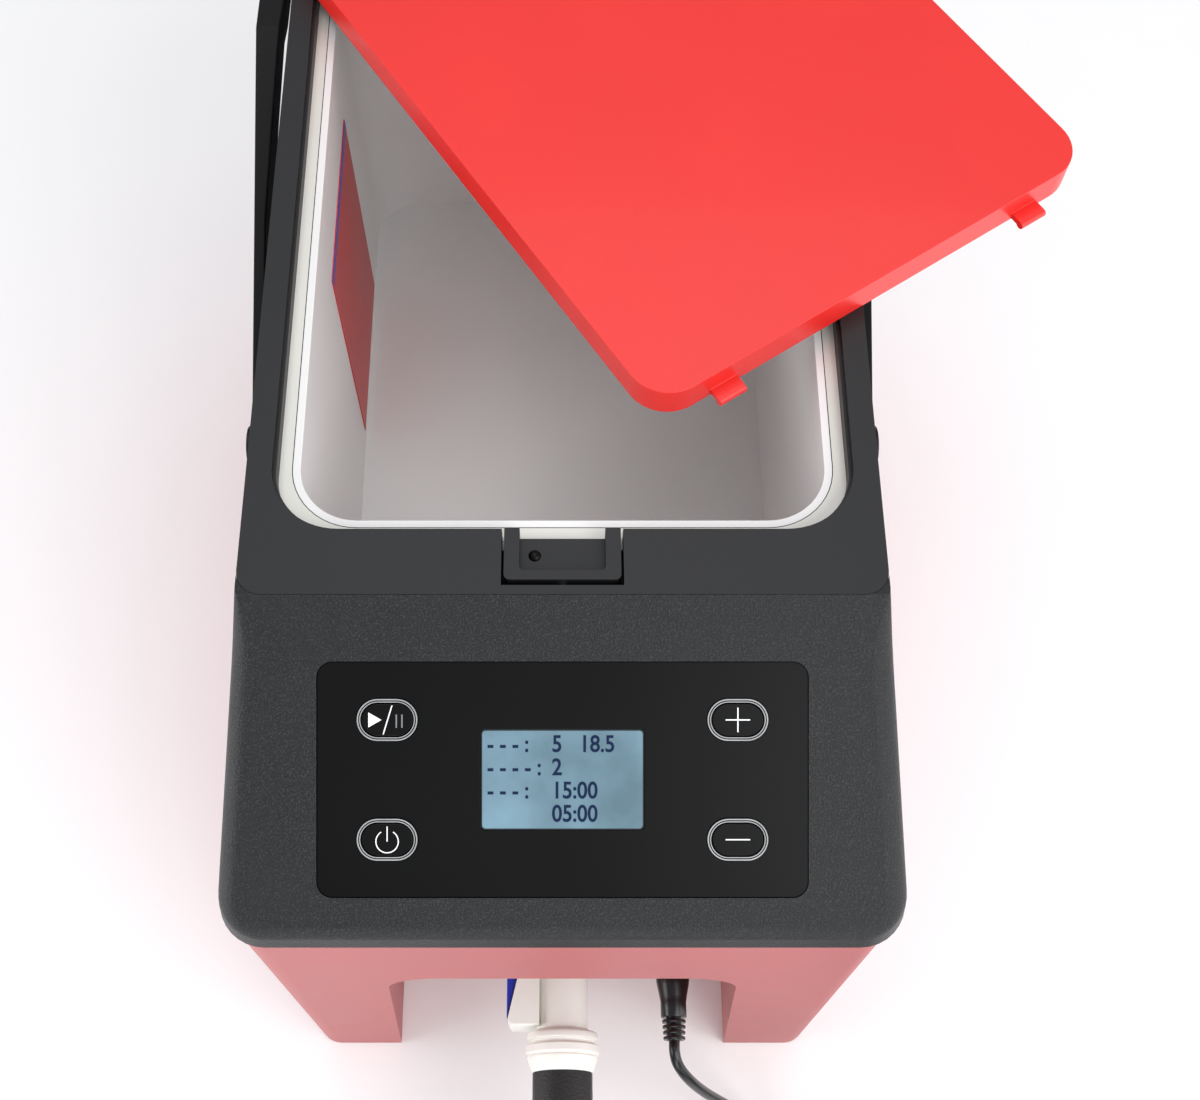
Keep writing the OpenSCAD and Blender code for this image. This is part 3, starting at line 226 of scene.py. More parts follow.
def make_materials():
    MATS.update({
        "red_case": material("red_case", (0.46, 0.125, 0.125), 0.5, bump=0.12, grain=2400,
                             vary=0.04),
        "red_lid": material("red_lid", (0.80, 0.022, 0.017), 0.36, bump=0.03, coat=0.12,
                            patch=12, vary=0.03),
        # The black case's lighter specks are painted glints on its textured face
        "black_case": material("black_case", (0.0105, 0.011, 0.012), 0.40, bump=0.8, grain=1700,
                               glint_speck=0.4, shine=0.33),
        "frame_plastic": material("frame_plastic", (0.018, 0.0185, 0.0195), 0.42, bump=0.06,
                                  grain=3000, vary=0.08, shine=0.29),
        "dark_plastic": material("dark_plastic", (0.006, 0.006, 0.0065), 0.5, bump=0.3, shine=0.18),
        "panel_gloss": material("panel_gloss", (0.0028, 0.0028, 0.003), 0.3, bump=0.03,
                                grain=2600, patch=8, vary=0.12, shine=0.16),
        "screen_glass": material("screen_glass", (0.15, 0.25, 0.31), 0.3, glow=0.12,
                                 patch=30, vary=0.34, shine=0.25),
        "rubber": material("rubber", (0.018, 0.018, 0.020), 0.72, bump=0.4, grain=1500),
        "steel": material("steel", (0.55, 0.55, 0.57), 0.32, metal=1, bump=0.15, grain=900),
        "circuit_board": material("circuit_board", (0.02, 0.16, 0.05), 0.4, bump=0.4,
                                  grain=500),
        "white_plastic": material("white_plastic", (0.87, 0.865, 0.81), 0.35, bump=0.05,
                                  grain=1800, vary=0.02),
        "tub_white": material("tub_white", (0.93, 0.92, 0.91), 0.32, bump=0.08, grain=900,
                              vary=0.025, patch=9),
        "tub_rim": material("tub_rim", (0.80, 0.79, 0.73), 0.3, bump=0.05, grain=1500,
                            vary=0.02),
        "foam": material("foam", (0.72, 0.69, 0.60), 0.85, bump=0.8, grain=700),
        "label_film": material("label_film", (0.62, 0.020, 0.022), 0.35, bump=0.03, patch=20),
        "label_blue": material("label_blue", (0.03, 0.05, 0.42), 0.35, bump=0.03, patch=20),
        "black_steel": material("black_steel", (0.02, 0.02, 0.022), 0.35, metal=0.5, bump=0.1,
                                shine=0.35),
        "brass": material("brass", (0.62, 0.44, 0.16), 0.3, metal=1, bump=0.1),
        "clear_tube": material("clear_tube", (0.66, 0.72, 0.75), 0.25, bump=0.04),
        "blue_plastic": material("blue_plastic", (0.018, 0.045, 0.50), 0.35, bump=0.05),
        "hose_rubber": material("hose_rubber", (0.014, 0.014, 0.0155), 0.5, bump=0.6,
                                grain=1100, shine=0.38),
        "cable_pvc": material("cable_pvc", (0.006, 0.006, 0.007), 0.24, bump=0.04, grain=1600),
        # The caps' white marks glow a little: painted brightness, as the print is no lamp
        "glyph": material("glyph", (0.86, 0.87, 0.88), 0.4, glow=0.1, vary=0.02),
        "glyph_grey": material("glyph_grey", (0.22, 0.22, 0.23), 0.4, vary=0.03),
        "ring_line": material("ring_line", (0.36, 0.365, 0.37), 0.3, vary=0.15, patch=120),
        "ink": material("ink", (0.008, 0.02, 0.06), 0.6, vary=0.05, shine=0.1),
        "shadow_gap": material("shadow_gap", (0.006, 0.006, 0.006), 0.8, bump=0.1),
        "floor": material("floor", (0.965, 0.965, 0.965), 0.7, vary=0.003, shine=0.2),
    })


# ---- Mesh helpers ----
# Edges sharper than this stay sharp, in degrees, on pieces and on turned ones
SHARP = 32
TURNED_SHARP = 38
# Points closer than this are one, in metres, and faces within this angle are one face
MERGE_GAP = 2e-6
FLAT_ANGLE = 0.6
WIDE_SEGMENTS = 7


def new_object(name, mesh, mat, body="case"):
    """Visible piece with its material, on its body."""
    obj = bpy.data.objects.new(name, mesh)
    bpy.context.collection.objects.link(obj)
    obj.data.materials.clear()
    obj.data.materials.append(MATS[mat])
    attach(obj, body)
    return obj


def finish_node(node, mat):
    """Give a CAD node that stays in sight its material."""
    materials = frame["nodes"][node].data.materials
    materials.clear()
    materials.append(MATS[mat])


def shade(mesh, angle=SHARP):
    """Smooth shading that keeps the edges sharper than angle."""
    for poly in mesh.polygons:
        poly.use_smooth = True
    mesh.set_sharp_from_angle(angle=math.radians(angle))


def add_bevel(obj, width, segments=3):
    """Rounding of the sharp edges, width in millimetres."""
    mod = obj.modifiers.new("edges", "BEVEL")
    mod.width = width * MM
    mod.segments = segments
    mod.limit_method = "ANGLE"
    mod.angle_limit = math.radians(SHARP)
    mod.harden_normals = True
    return mod


def from_node(node, mat, bevel, segments=3, wide=0.0, weigh=None):
    """A piece with the node's own form, cleaned of its flat triangles, with rounded edges.

    Edges to which weigh gives a share of wide, in millimetres, are rounded by it first.
    """
    bm = bmesh.new()
    bm.from_mesh(frame["nodes"][node].data)
    bmesh.ops.remove_doubles(bm, verts=bm.verts, dist=MERGE_GAP)
    bmesh.ops.dissolve_limit(bm, angle_limit=math.radians(FLAT_ANGLE), verts=bm.verts,
                             edges=bm.edges, use_dissolve_boundaries=False)
    if weigh:
        weigh(bm, bm.edges.layers.float.new("bevel_weight_edge"))
    mesh = bpy.data.meshes.new(node + "_skin")
    bm.to_mesh(mesh)
    bm.free()
    shade(mesh)
    obj = new_object(node + "_skin", mesh, mat, BODY_OF[node])
    if weigh:
        rounding = add_bevel(obj, wide, WIDE_SEGMENTS)
        rounding.limit_method = "WEIGHT"
        rounding.use_clamp_overlap = False
        rounding.loop_slide = False
    add_bevel(obj, bevel, segments)
    flat = obj.modifiers.new("even_shading", "WEIGHTED_NORMAL")
    flat.keep_sharp = True
    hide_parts(node)


def mesh_of(name, verts, faces):
    """Mesh from points in millimetres."""
    mesh = bpy.data.meshes.new(name)
    mesh.from_pydata([Vector(v) * MM for v in verts], [], faces)
    mesh.update()
    return mesh


def placed(name, verts, faces, mat, body, place):
    """Object of a mesh in the frame of place, or in the part's own frame."""
    mesh = mesh_of(name, verts, faces)
    if place is not None:
        mesh.transform(place)
    shade(mesh)
    return new_object(name, mesh, mat, body)


def prism(name, outline, z0, z1, mat, body="case", place=None):
    """Closed prism over an outline of (x, y) points."""
    n = len(outline)
    verts = [(x, y, z0) for x, y in outline] + [(x, y, z1) for x, y in outline]
    faces = [list(range(n))[::-1], [n + i for i in range(n)]]
    faces += [[i, (i + 1) % n, n + (i + 1) % n, n + i] for i in range(n)]
    return placed(name, verts, faces, mat, body, place)


def ring_prism(name, outer, inner, z0, z1, mat, body="case", place=None):
    """Closed band between two outlines that have the same number of points."""
    n = len(outer)
    verts = [(x, y, z) for z in (z0, z1) for loop in (outer, inner) for x, y in loop]
    faces = []
    for i in range(n):
        j = (i + 1) % n
        faces += [[i, j, 2 * n + j, 2 * n + i], [n + j, n + i, 3 * n + i, 3 * n + j],
                  [j, i, n + i, n + j], [2 * n + i, 2 * n + j, 3 * n + j, 3 * n + i]]
    return placed(name, verts, faces, mat, body, place)


def round_rect(w, h, r, steps=8, at=(0, 0)):
    """Outline of a rounded rectangle, counted anticlockwise."""
    points = []
    for cx, cy, start in ((w / 2 - r, h / 2 - r, 0), (-w / 2 + r, h / 2 - r, 90),
                          (-w / 2 + r, -h / 2 + r, 180), (w / 2 - r, -h / 2 + r, 270)):
        for i in range(steps + 1):
            a = math.radians(start + 90 * i / steps)
            points.append((at[0] + cx + r * math.cos(a), at[1] + cy + r * math.sin(a)))
    return points


def arc_points(r, a0, a1, steps, at=(0, 0)):
    """Points on an arc, from the angle a0 to a1 in degrees."""
    return [(at[0] + r * math.cos(math.radians(a0 + (a1 - a0) * i / steps)),
             at[1] + r * math.sin(math.radians(a0 + (a1 - a0) * i / steps)))
            for i in range(steps + 1)]


# Frame of the control panel, with Z square to the slope
PANEL = (Matrix.Translation((0, -CREASE_Y * MM, RIM_Z * MM)) @ Matrix.Rotation(SLOPE, 4, "X")
         @ Matrix.Translation((0, -PANEL_S * MM, 0)))


def turned(name, profile, place, mat, body="case", steps=48):
    """Solid of revolution about the local Z axis, from (radius, height) points."""
    verts = [(r * math.cos(2 * math.pi * k / steps), r * math.sin(2 * math.pi * k / steps), z)
             for r, z in profile for k in range(steps)]
    faces = [[i * steps + k, i * steps + (k + 1) % steps,
              (i + 1) * steps + (k + 1) % steps, (i + 1) * steps + k]
             for i in range(len(profile) - 1) for k in range(steps)]
    faces += [list(range(steps))[::-1],
              [(len(profile) - 1) * steps + k for k in range(steps)]]
    mesh = mesh_of(name, verts, faces)
    mesh.transform(place)
    shade(mesh, TURNED_SHARP)
    return new_object(name, mesh, mat, body)


def facing_front(x, y, z):
    """Frame whose Z axis points to the front, -Y, at a place in millimetres."""
    return Matrix.Translation((x * MM, y * MM, z * MM)) @ Matrix.Rotation(math.pi / 2, 4, "X")


# ---- Cords ----
def smooth_route(points, steps=6):
    """Smooth line through the points, with steps pieces between each two."""
    p = [Vector(q) for q in points]
    out = []
    for i in range(len(p) - 1):
        a, b = p[max(i - 1, 0)], p[i]
        c, d = p[i + 1], p[min(i + 2, len(p) - 1)]
        for k in range(steps):
            t = k / steps
            out.append(0.5 * (2 * b + (c - a) * t + (2 * a - 5 * b + 4 * c - d) * t * t
                              + (3 * b - a - 3 * c + d) * t ** 3))
    return out + [p[-1]]


def hose_coil_points(per_turn=48):
    """Flat coil that widens as it turns clockwise."""
    total = int(per_turn * HOSE_TURNS)
    points = []
    for i in range(total + 1):
        r = HOSE_COIL_IN + (HOSE_COIL_OUT - HOSE_COIL_IN) * i / total
        a = -2 * math.pi * i / per_turn
        points.append(Vector((HOSE_COIL_AT[0] + r * math.cos(a),
                              HOSE_COIL_AT[1] + r * math.sin(a), HOSE_Z)))
    return points


def lead_coil_points(per_turn=36):
    """Coil in on the floor, up at the middle, and out again on top."""
    total = 2 * LEAD_TURNS + CLIMB_TURNS
    count = int(per_turn * total)
    points = []
    for i in range(count + 1):
        t = i / per_turn
        wide = LEAD_COIL_OUT - LEAD_COIL_IN
        if t < LEAD_TURNS:
            r = LEAD_COIL_OUT - wide * t / LEAD_TURNS
        elif t < LEAD_TURNS + CLIMB_TURNS:
            r = LEAD_COIL_IN - CLIMB_DIP * math.sin(math.pi * (t - LEAD_TURNS) / CLIMB_TURNS)
        else:
            r = LEAD_COIL_IN + wide * (t - LEAD_TURNS - CLIMB_TURNS) / LEAD_TURNS
        a = math.pi / 2 - 2 * math.pi * t
        z = LEAD_Z + LEAD_LAYER * min(1, max(0, (t - LEAD_TURNS) / CLIMB_TURNS))
        points.append(Vector((LEAD_COIL_AT[0] + r * math.cos(a),
                              LEAD_COIL_AT[1] + r * math.sin(a), z)))
    return points


def cord_object(name, points, radius, mat):
    """Round cord along the points, as one open spline."""
    curve = bpy.data.curves.new(name, "CURVE")
    curve.dimensions = "3D"
    curve.bevel_depth = radius * MM
    curve.bevel_resolution = 6
    curve.use_fill_caps = True
    spline = curve.splines.new("POLY")
    spline.points.add(len(points) - 1)
    for point, place in zip(spline.points, points):
        point.co = (*(place * MM), 1)
    spline.use_smooth = True
    return new_object(name, curve, mat)


def make_cords():
    """Hose and power lead, each as one cord with the pieces at its far end."""
    hose = smooth_route(HOSE_ROUTE)[:-1] + [Vector((HOSE_COIL_IN, HOSE_DOWN_Y, HOSE_Z))]
    hose += hose_coil_points()
    hose.append(Vector((*HOSE_END_AT, HOSE_Z)))
    piece = cord_object("water_hose", hose, HOSE_R - HOSE_EASE, "hose_rubber")
    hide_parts("hose", "hose_coil")
    end = make_hose_end()
    lead = smooth_route(LEAD_ROUTE)[:-1] + [Vector((*LEAD_DOWN, LEAD_Z))]
    lead += lead_coil_points()
    lead += smooth_route(TAIL_ROUTE)
    wire = cord_object("power_lead", lead, LEAD_R, "cable_pvc")
    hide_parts("dc_lead", "dc_coil")
    ends = make_adapter()


def make_hose_end():
    """Coupling at the hose's end."""
    place = (Matrix.Translation([v * MM for v in (*HOSE_END_AT, HOSE_Z)])
             @ Matrix.Rotation(-math.pi / 2, 4, "X"))
    profile = [(7, 0), (11.6, 0), (12, 0.4), (12, 7.6), (11, 8.6), (11, 11), (12, 12),
               (12, 16), (11.6, 16.6), (11.6, 18.4), (12, 19), (12, 33), (11.2, 34.6),
               (8, 36), (8, 41), (7.2, 41.4), (7.2, 43.6), (8, 44), (8, 57), (7.2, 59),
               (6.4, 60), (4.8, 60), (4.5, 59.6), (4.5, 50), (4, 50)]
    obj = turned("hose_coupling", profile, place, "white_plastic")
    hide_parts("hose_end")
    return obj


def make_adapter():
    """Mains adapter, its ribbed strain relief, its seam and its two pins."""
    profile = [(2.35, 0)]
    for i in range(RELIEF_RIBS):
        r = 2.9 + 0.2 * i
        profile += [(r, 0.3 + 1.9 * i), (r, 1.4 + 1.9 * i), (2.5, 1.6 + 1.9 * i),
                    (2.5, 2.0 + 1.9 * i)]
    profile += [(3.6, RELIEF_L), (3.6, RELIEF_L + 0.8)]
    relief = turned("adapter_strain_relief", profile, facing_front(*RELIEF_AT), "cable_pvc",
                    steps=24)
    outline = round_rect(ADAPTER_W, ADAPTER_L, ADAPTER_R, 6, at=ADAPTER_AT)
    inner = round_rect(ADAPTER_W - 1, ADAPTER_L - 1, ADAPTER_R - 0.5, 6, at=ADAPTER_AT)
    body = prism("adapter_body", outline, ADAPTER_Z, ADAPTER_H, "dark_plastic")
    add_bevel(body, ADAPTER_BEVEL, 2)
    seam = ring_prism("adapter_seam", outline, inner, *ADAPTER_SEAM, "shadow_gap")
    pin = [(PIN_R, 0), (PIN_R, PIN_L - 1.9), (1.6, PIN_L - 0.7), (0.8, PIN_L - 0.1)]
    pins = [turned("adapter_pin_" + side, pin,
                   facing_front(ADAPTER_AT[0] + sign * PIN_GAP / 2,
                                ADAPTER_AT[1] - ADAPTER_L / 2, ADAPTER_H / 2),
                   "steel", steps=24)
            for side, sign in (("left", -1), ("right", 1))]
    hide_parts("adapter")
    return [relief, body, seam] + pins


# ---- Case ----
SLOPE_UP = Vector((0, -math.sin(SLOPE), math.cos(SLOPE)))
CREASE = Vector((0, -CREASE_Y * MM, RIM_Z * MM))
# The slope's rim: how near to its plane, and where it lies, in millimetres
RIM_NEAR = 0.1
RIM_X = 100
RIM_Y = -190
# A face turns down where its normal leans from the slope's, and out where it leans aside
DOWN_BELOW = 0.8
OUT_ABOVE = 0.3
# Its rounding: full back from the first place, and this share of it from the second
RIM_ROUND = 7
SIDE_END_Y = -185
FRONT_END_Y = -199
FRONT_SHARE = 0.45
# How near the crease a side's edge ends; then distances from it, each with the rounding's share
CREASE_NEAR = 1
CREASE_TAPER = ((4, 0.14), (9, 0.35), (15, 0.6), (22, 0.85))


def on_slope_rim(edge):
    """Edges where the control slope turns down into the case's front and sides."""
    level = all(abs((v.co - CREASE).dot(SLOPE_UP)) < RIM_NEAR * MM for v in edge.verts)
    down = [f for f in edge.link_faces if f.normal.dot(SLOPE_UP) < DOWN_BELOW]
    outward = down and (down[0].normal.y < -OUT_ABOVE or abs(down[0].normal.x) > OUT_ABOVE)
    middle = (edge.verts[0].co + edge.verts[1].co) / 2
    at_rim = abs(middle.x) > RIM_X * MM or middle.y < RIM_Y * MM
    return bool(level and outward and at_rim and len(down) == 1)


def weigh_slope_rim(bm, weight):
    """Full rounding along the sides, less at the front, and a taper beside the crease."""
    bm.normal_update()
    for edge in [e for e in bm.edges if on_slope_rim(e)]:
        y = (edge.verts[0].co.y + edge.verts[1].co.y) / 2 / MM
        turn = min(1, max(0, (SIDE_END_Y - y) / (SIDE_END_Y - FRONT_END_Y)))
        edge[weight] = 1 - turn * (1 - FRONT_SHARE)
        top = max(edge.verts, key=lambda v: v.co.y)
        if top.co.y / MM < -CREASE_Y - CREASE_NEAR:
            continue
        rest, done = edge, 0
        for reach, share in CREASE_TAPER:
            part = (reach - done) * MM / rest.calc_length()
            point = bmesh.utils.edge_split(rest, top, part)[1]
            near = next(e for e in point.link_edges if top in e.verts)
            rest = next(e for e in point.link_edges if e != near)
            near[weight], rest[weight] = share, 1
            top, done = point, reach


# Pieces with their node's own form: node, material, edge rounding and its segments
SKINS = [("lower_shell", "red_case", 1.6),
         ("upper_shell", "black_case", 1.2, 3, RIM_ROUND, weigh_slope_rim),
         ("top_frame", "frame_plastic", 1.6, 4),
         ("tub", "tub_white", 1.0),
         ("lid_shell", "red_lid", 2.6, 5),
         ("latch_button", "frame_plastic", 0.5),
         ("handle_bail", "dark_plastic", 1.1),
         ("control_panel", "panel_gloss", 0.25, 2),
         ("hose_connector", "white_plastic", 0.7),
         ("release_lever", "blue_plastic", 0.7),
         ("hose_socket", "white_plastic", 0.8),
         ("button_rings", "panel_gloss", 0.25, 2),
         ("base_cover", "dark_plastic", 0.5, 2)]


def make_case():
    for skin in SKINS:
        from_node(*skin)


# ---- Buttons and display ----
# Thin trim is sunk a little into what carries it, and stands out a little
SINK = 0.05
RISE = 0.06
# Caps, with the side and the row of each
CAPS = [("button_play", -1, 1), ("button_power", -1, -1), ("button_plus", 1, 1),
        ("button_minus", 1, -1)]
RING_W = 19.4
RING_H = 13.4
RING_TOP = PANEL_TOP + 0.5
CAP_TOP = PANEL_TOP + 0.4
# Silver lines on a ring: width over all, and width of the line
RING_LINES = [("outer", RING_W - 0.1, 0.42), ("inner", RING_W - 1.7, 0.3)]
# Marks: half width of a fine line, reach of plus and minus, and radii of the power sign
FINE = 0.2
REACH = 3.9
POWER_R = (3.75, 3.4)
POWER_ARC = (122, 418)
POWER_DOWN = -0.6


def oval_line(name, w, line, place):
    """Thin silver line round a button, w wide over all."""
    h = w - RING_W + RING_H
    ring_prism(name, round_rect(w, h, h / 2 - 0.01, 12),
               round_rect(w - 2 * line, h - 2 * line, h / 2 - line - 0.01, 12),
               RING_TOP - SINK, RING_TOP + RISE, "ring_line", place=place)


def bar(x0, y0, x1, y1):
    """Outline of a straight stroke."""
    return [(x0, y0), (x1, y0), (x1, y1), (x0, y1)]


def button_marks(node):
    """White marks on a cap, and the grey ones."""
    if node == "button_play":
        triangle = [(-6.0, -2.4), (-1.8, 0), (-6.0, 2.4)]
        slash = [(-1.45, -4.6), (-1.05, -4.6), (1.75, 4.6), (1.35, 4.6)]
        return [triangle, slash], [bar(2.7, -2.5, 3.15, 1.7), bar(4.5, -2.5, 4.95, 1.7)]
    if node == "button_power":
        start, end = POWER_ARC
        arc = (arc_points(POWER_R[0], start, end, 30, (0, POWER_DOWN))
               + arc_points(POWER_R[1], end, start, 30, (0, POWER_DOWN)))
        return [arc, bar(-0.18, POWER_DOWN, 0.18, 4.2)], []
    marks = [bar(-REACH, -FINE, REACH, FINE)]
    if node == "button_plus":
        marks += [bar(-FINE, FINE, FINE, REACH), bar(-FINE, -REACH, FINE, -FINE)]
    return marks, []


def make_buttons():
    """Marks on each cap, which ride on it, and two thin lines round it on the fixed ring."""
    for node, side, row in CAPS:
        body = BODY_OF[node]
        from_node(node, "panel_gloss", 0.35)
        place = PANEL @ Matrix.Translation((side * BUTTON_X * MM, row * BUTTON_GAP / 2 * MM, 0))
        for which, w, line in RING_LINES:
            oval_line("%s_%s_line" % (node, which), w, line, place)
        for colour, marks in zip(("glyph", "glyph_grey"), button_marks(node)):
            for i, outline in enumerate(marks):
                prism("%s_%s_%d" % (node, colour, i), outline, CAP_TOP - SINK, CAP_TOP + RISE,
                      colour, body, place)


# Rows of plain figures on the display: words, left edge, base line
SCREEN_ROWS = [("- - - :", -24.0, 8.9), ("5   18.5", -3.4, 8.9), ("- - - - :", -24.0, 1.5),
               ("2", -3.4, 1.5), ("- - - :", -24.0, -5.9), ("15:00", -3.4, -5.9),
               ("05:00", -3.4, -13.3)]
FIGURE_SIZE = 7.5
FIGURE_NARROW = 0.88
FIGURE_BOLD = 0.12
FIGURE_T = 0.03
# Dark rim round the display: width, height and corner radius, outside and inside
SCREEN_RIM = ((52, 32, 1.5), (51.2, 31.2, 1.1))
SCREEN_RIM_T = 0.1


def make_screen():
    """Backlit display with plain figures, and the dark rim round it."""
    finish_node("lcd_window", "screen_glass")
    outer, inner = (round_rect(*size, 5) for size in SCREEN_RIM)
    ring_prism("screen_rim", outer, inner, PANEL_TOP - SCREEN_RIM_T, PANEL_TOP + SCREEN_RIM_T,
               "shadow_gap", place=PANEL)
    for i, (words, x, y) in enumerate(SCREEN_ROWS):
        text = bpy.data.curves.new("screen_figures_%d" % i, "FONT")
        text.body = words
        text.size = FIGURE_SIZE * MM
        text.extrude = FIGURE_T * MM
        text.offset = FIGURE_BOLD * MM
        obj = new_object("screen_figures_%d" % i, text, "ink")
        obj.parent = None
        obj.matrix_world = (PANEL @ Matrix.Translation((x * MM, y * MM, (PANEL_TOP + RISE) * MM))
                            @ Matrix.Diagonal((FIGURE_NARROW, 1, 1, 1)))
        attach(obj, "case")


# ---- Small pieces ----
PLUG_RIBS = 4
BARREL_R = 2.75
BARREL_FRONT = -140.5


def make_connector():
    """The hose's collar, and the power plug with its barrel."""
    collar = [(8.15, 0), (10.3, 0), (12.9, 0.9), (13.9, 1.5), (14.2, 2), (14.2, 3.9),
              (13.9, 4.2), (13, 4.4), (12.9, 4.8), (12.9, 5.6), (13, 5.9), (14.3, 6.1),
              (14.75, 6.6), (14.75, 9.2), (14.4, 9.6), (13.8, 9.7), (13.7, 10.1),
              (13.8, 10.5), (14.2, 10.8), (14.1, 11.6), (12.3, 16), (12, 16.5), (8.15, 16.5)]
    piece = turned("collar", collar, facing_front(0, NECK_FRONT, PORT_Z), "white_plastic")
    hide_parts("hose_collar")
    plug = [(2, 0), (6, 0), (6.5, 0.6), (6.75, 2), (6.75, 25.5), (6.4, 27.5), (5.6, 31.5),
            (5.2, 34), (5.2, 39.6), (5.0, 40)]
    for i in range(PLUG_RIBS):
        z = 40.9 + 2.2 * i
        r = 4.8 - 0.12 * i
        plug += [(3, z - 0.9), (3, z), (r - 0.2, z), (r, z + 0.25), (r, z + 0.95),
                 (r - 0.2, z + 1.2), (3, z + 1.2)]
    plug += [(2.9, 49), (2.3, 49)]
    body = turned("power_plug", plug, facing_front(INLET_X, INLET_FRONT, PORT_Z), "cable_pvc")
    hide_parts("dc_plug")
    turned("plug_barrel", [(1.3, 0), (BARREL_R, 0), (BARREL_R, 20)],
           facing_front(INLET_X, BARREL_FRONT, PORT_Z), "steel", steps=24)


# Grip: radius, depth of its grooves, their pitch, and the plain length at each end
GRIP_R = 10
GROOVE_DEPTH = 0.5
GROOVE_PITCH = 6
GRIP_PLAIN = 12


def make_grip():
    """Soft grip with shallow grooves."""
    lo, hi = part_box("handle_grip")
    length = (hi.x - lo.x) / MM
    place = (Matrix.Translation((lo.x, (lo.y + hi.y) / 2, (lo.z + hi.z) / 2))
             @ Matrix.Rotation(math.pi / 2, 4, "Y"))
    end = [(7.1, 0), (9, 0), (9.7, 0.6), (GRIP_R, 1.6)]
    profile = list(end)
    low = GRIP_R - GROOVE_DEPTH
    for i in range(int((length - 2 * GRIP_PLAIN) / GROOVE_PITCH)):
        z = GRIP_PLAIN + GROOVE_PITCH * i
        profile += [(GRIP_R, z), (low, z + 0.7), (low, z + 1.5), (GRIP_R, z + 2.2)]
    profile += [(r, length - z) for r, z in reversed(end)]
    grip = turned("grip_sleeve", profile, place, "rubber", "handle")
    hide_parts("handle_grip")


# Blue top edge of the label: height, corner radius, how far down, and how far it stands out
LABEL_EDGE_H = 4.5
LABEL_EDGE_R = 0.8
LABEL_EDGE_DOWN = 2.3
LABEL_EDGE_T = 0.1
LABEL_SINK = 0.02
# The flange's dark line of painted shade and its cream band, as distances out from the tub's mouth,
# and their tops
MOUTH_R = 20
LINE_IN = 2.6
LINE_OUT = 2.9
BAND_OUT = 8
FLANGE_SINK = 0.1
LINE_RISE = 0.04
BAND_RISE = 0.08


def make_tub_details():
    """Label on the tub's wall, a red field with a blue top edge; the flange's cream band."""
    lo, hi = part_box("fill_label")
    x = hi.x / MM - LABEL_SINK
    length = (hi.y - lo.y) / MM
    side = (Matrix.Translation((x * MM, (lo.y + hi.y) / 2, hi.z))
            @ Matrix.Rotation(math.pi / 2, 4, "Y"))
    edge = round_rect(LABEL_EDGE_H, length, LABEL_EDGE_R, 4, at=(LABEL_EDGE_DOWN, 0))
    prism("label_edge", edge, 0, LABEL_EDGE_T, "label_blue", place=side)
    finish_node("fill_label", "label_film")
    middle = (0, (TUB_FRONT + TUB_REAR) / 2)
    long = TUB_REAR - TUB_FRONT

    def mouth(out):
        return round_rect(TUB_W + 2 * out, long + 2 * out, MOUTH_R + out, 12, at=middle)

    low = FLANGE_Z - FLANGE_SINK
    # A dark ring painted as the shade in the joint between the tub's mouth and the flange's band
    ring_prism("flange_shade_line", mouth(LINE_OUT), mouth(LINE_IN), low, FLANGE_Z + LINE_RISE,
               "dark_plastic")
    ring_prism("flange_band", mouth(BAND_OUT), mouth(LINE_OUT), low, FLANGE_Z + BAND_RISE,
               "tub_rim")


# Painted shade under the upper case's edge, a dark ring: reach out of the lower shell's sides and
# into them, corner radius, low and high
SEAM_OUT = 0.8
SEAM_IN = 0.2
BASE_R = 10
SEAM_SPAN = (SEAM_Z - 0.7, SEAM_Z - 0.05)


def make_seam_shade():
    """Dark ring painted as the shade under the upper case's edge."""
    outer, inner = (round_rect(2 * (BASE_HX + out), 2 * (BASE_HY + out), BASE_R + out, 8)
                    for out in (SEAM_OUT, -SEAM_IN))
    ring_prism("seam_painted_shade", outer, inner, *SEAM_SPAN, "shadow_gap")


def paint_nodes():
    """Every CAD node that still shows takes the finish of its slot."""
    finish = {s["node"]: s["material_slot"] for s in frame["record"]["subparts"]}
    for node, obj in frame["nodes"].items():
        if not obj.hide_render and node not in ("lcd_window", "fill_label"):
            finish_node(node, finish[node])


# ---- Studio ----
FLOOR_HALF = 6
FLOOR_Z = -0.0005
MIDDLE = (0, 0, 0.12)
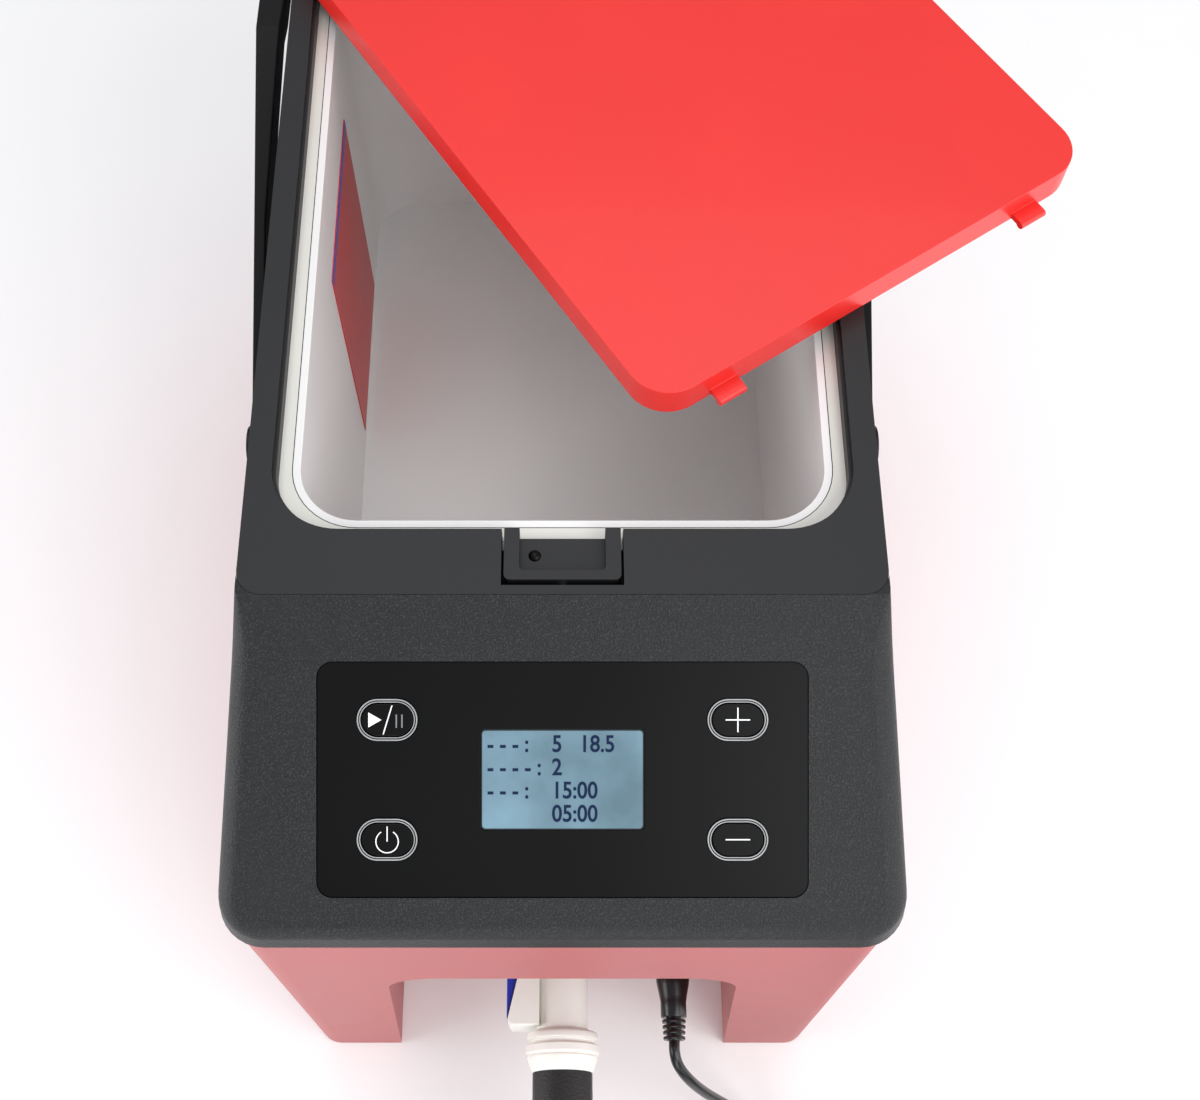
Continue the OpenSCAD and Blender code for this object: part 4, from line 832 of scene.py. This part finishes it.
# Square soft boxes: name, place, what it is aimed at, size, power
LAMPS = [("key", (0.9, -1.0, 1.4), (0, 0, 0.15), 1.2, 14.5),
         ("top", (0.0, 0.35, 1.6), MIDDLE, 1.2, 6.5),
         ("left", (-1.3, -0.4, 0.5), MIDDLE, 0.9, 9),
         ("right", (1.3, -0.4, 0.5), MIDDLE, 0.9, 5),
         ("front", (0.0, -1.6, 0.5), MIDDLE, 1.0, 7.5)]
# What the camera sees behind the floor, and what lights the object: colour and strength
WORLD_SEEN = ((1, 1, 1, 1), 1.0)
WORLD_LIT = ((0.93, 0.95, 1, 1), 0.52)


def area_light(name, place, aim, size, power):
    """Square soft box at a place, turned to what it is aimed at."""
    data = bpy.data.lights.new(name, "AREA")
    data.size = size
    data.energy = power
    light = bpy.data.objects.new(name, data)
    light.location = place
    light.rotation_euler = (Vector(aim) - Vector(place)).to_track_quat("-Z", "Y").to_euler()
    bpy.context.collection.objects.link(light)


def background(node, look):
    """Output of a background node with a colour and a strength."""
    node.inputs["Color"].default_value, node.inputs["Strength"].default_value = look
    return node.outputs["Background"]


def make_studio():
    """Pale floor, soft boxes, and a white world that lights less than it shows."""
    mesh = bpy.data.meshes.new("floor")
    corners = [(-1, -1), (1, -1), (1, 1), (-1, 1)]
    mesh.from_pydata([(x * FLOOR_HALF, y * FLOOR_HALF, FLOOR_Z) for x, y in corners], [],
                     [(0, 1, 2, 3)])
    floor = bpy.data.objects.new("floor", mesh)
    bpy.context.collection.objects.link(floor)
    mesh.materials.append(MATS["floor"])
    for lamp in LAMPS:
        area_light(*lamp)
    world = bpy.data.worlds.new("world")
    bpy.context.scene.world = world
    world.use_nodes = True
    tree = world.node_tree
    rays = tree.nodes.new("ShaderNodeLightPath")
    mix = tree.nodes.new("ShaderNodeMixShader")
    link(tree, rays.outputs["Is Camera Ray"], mix.inputs[0])
    link(tree, background(tree.nodes.new("ShaderNodeBackground"), WORLD_LIT), mix.inputs[1])
    link(tree, background(tree.nodes["Background"], WORLD_SEEN), mix.inputs[2])
    link(tree, mix.outputs["Shader"], tree.nodes["World Output"].inputs["Surface"])
    bpy.context.scene.view_settings.view_transform = "Standard"


make_materials()
make_camera()
make_cords()
make_case()
make_buttons()
make_screen()
make_connector()
make_grip()
make_tub_details()
make_seam_shade()
paint_nodes()
make_studio()
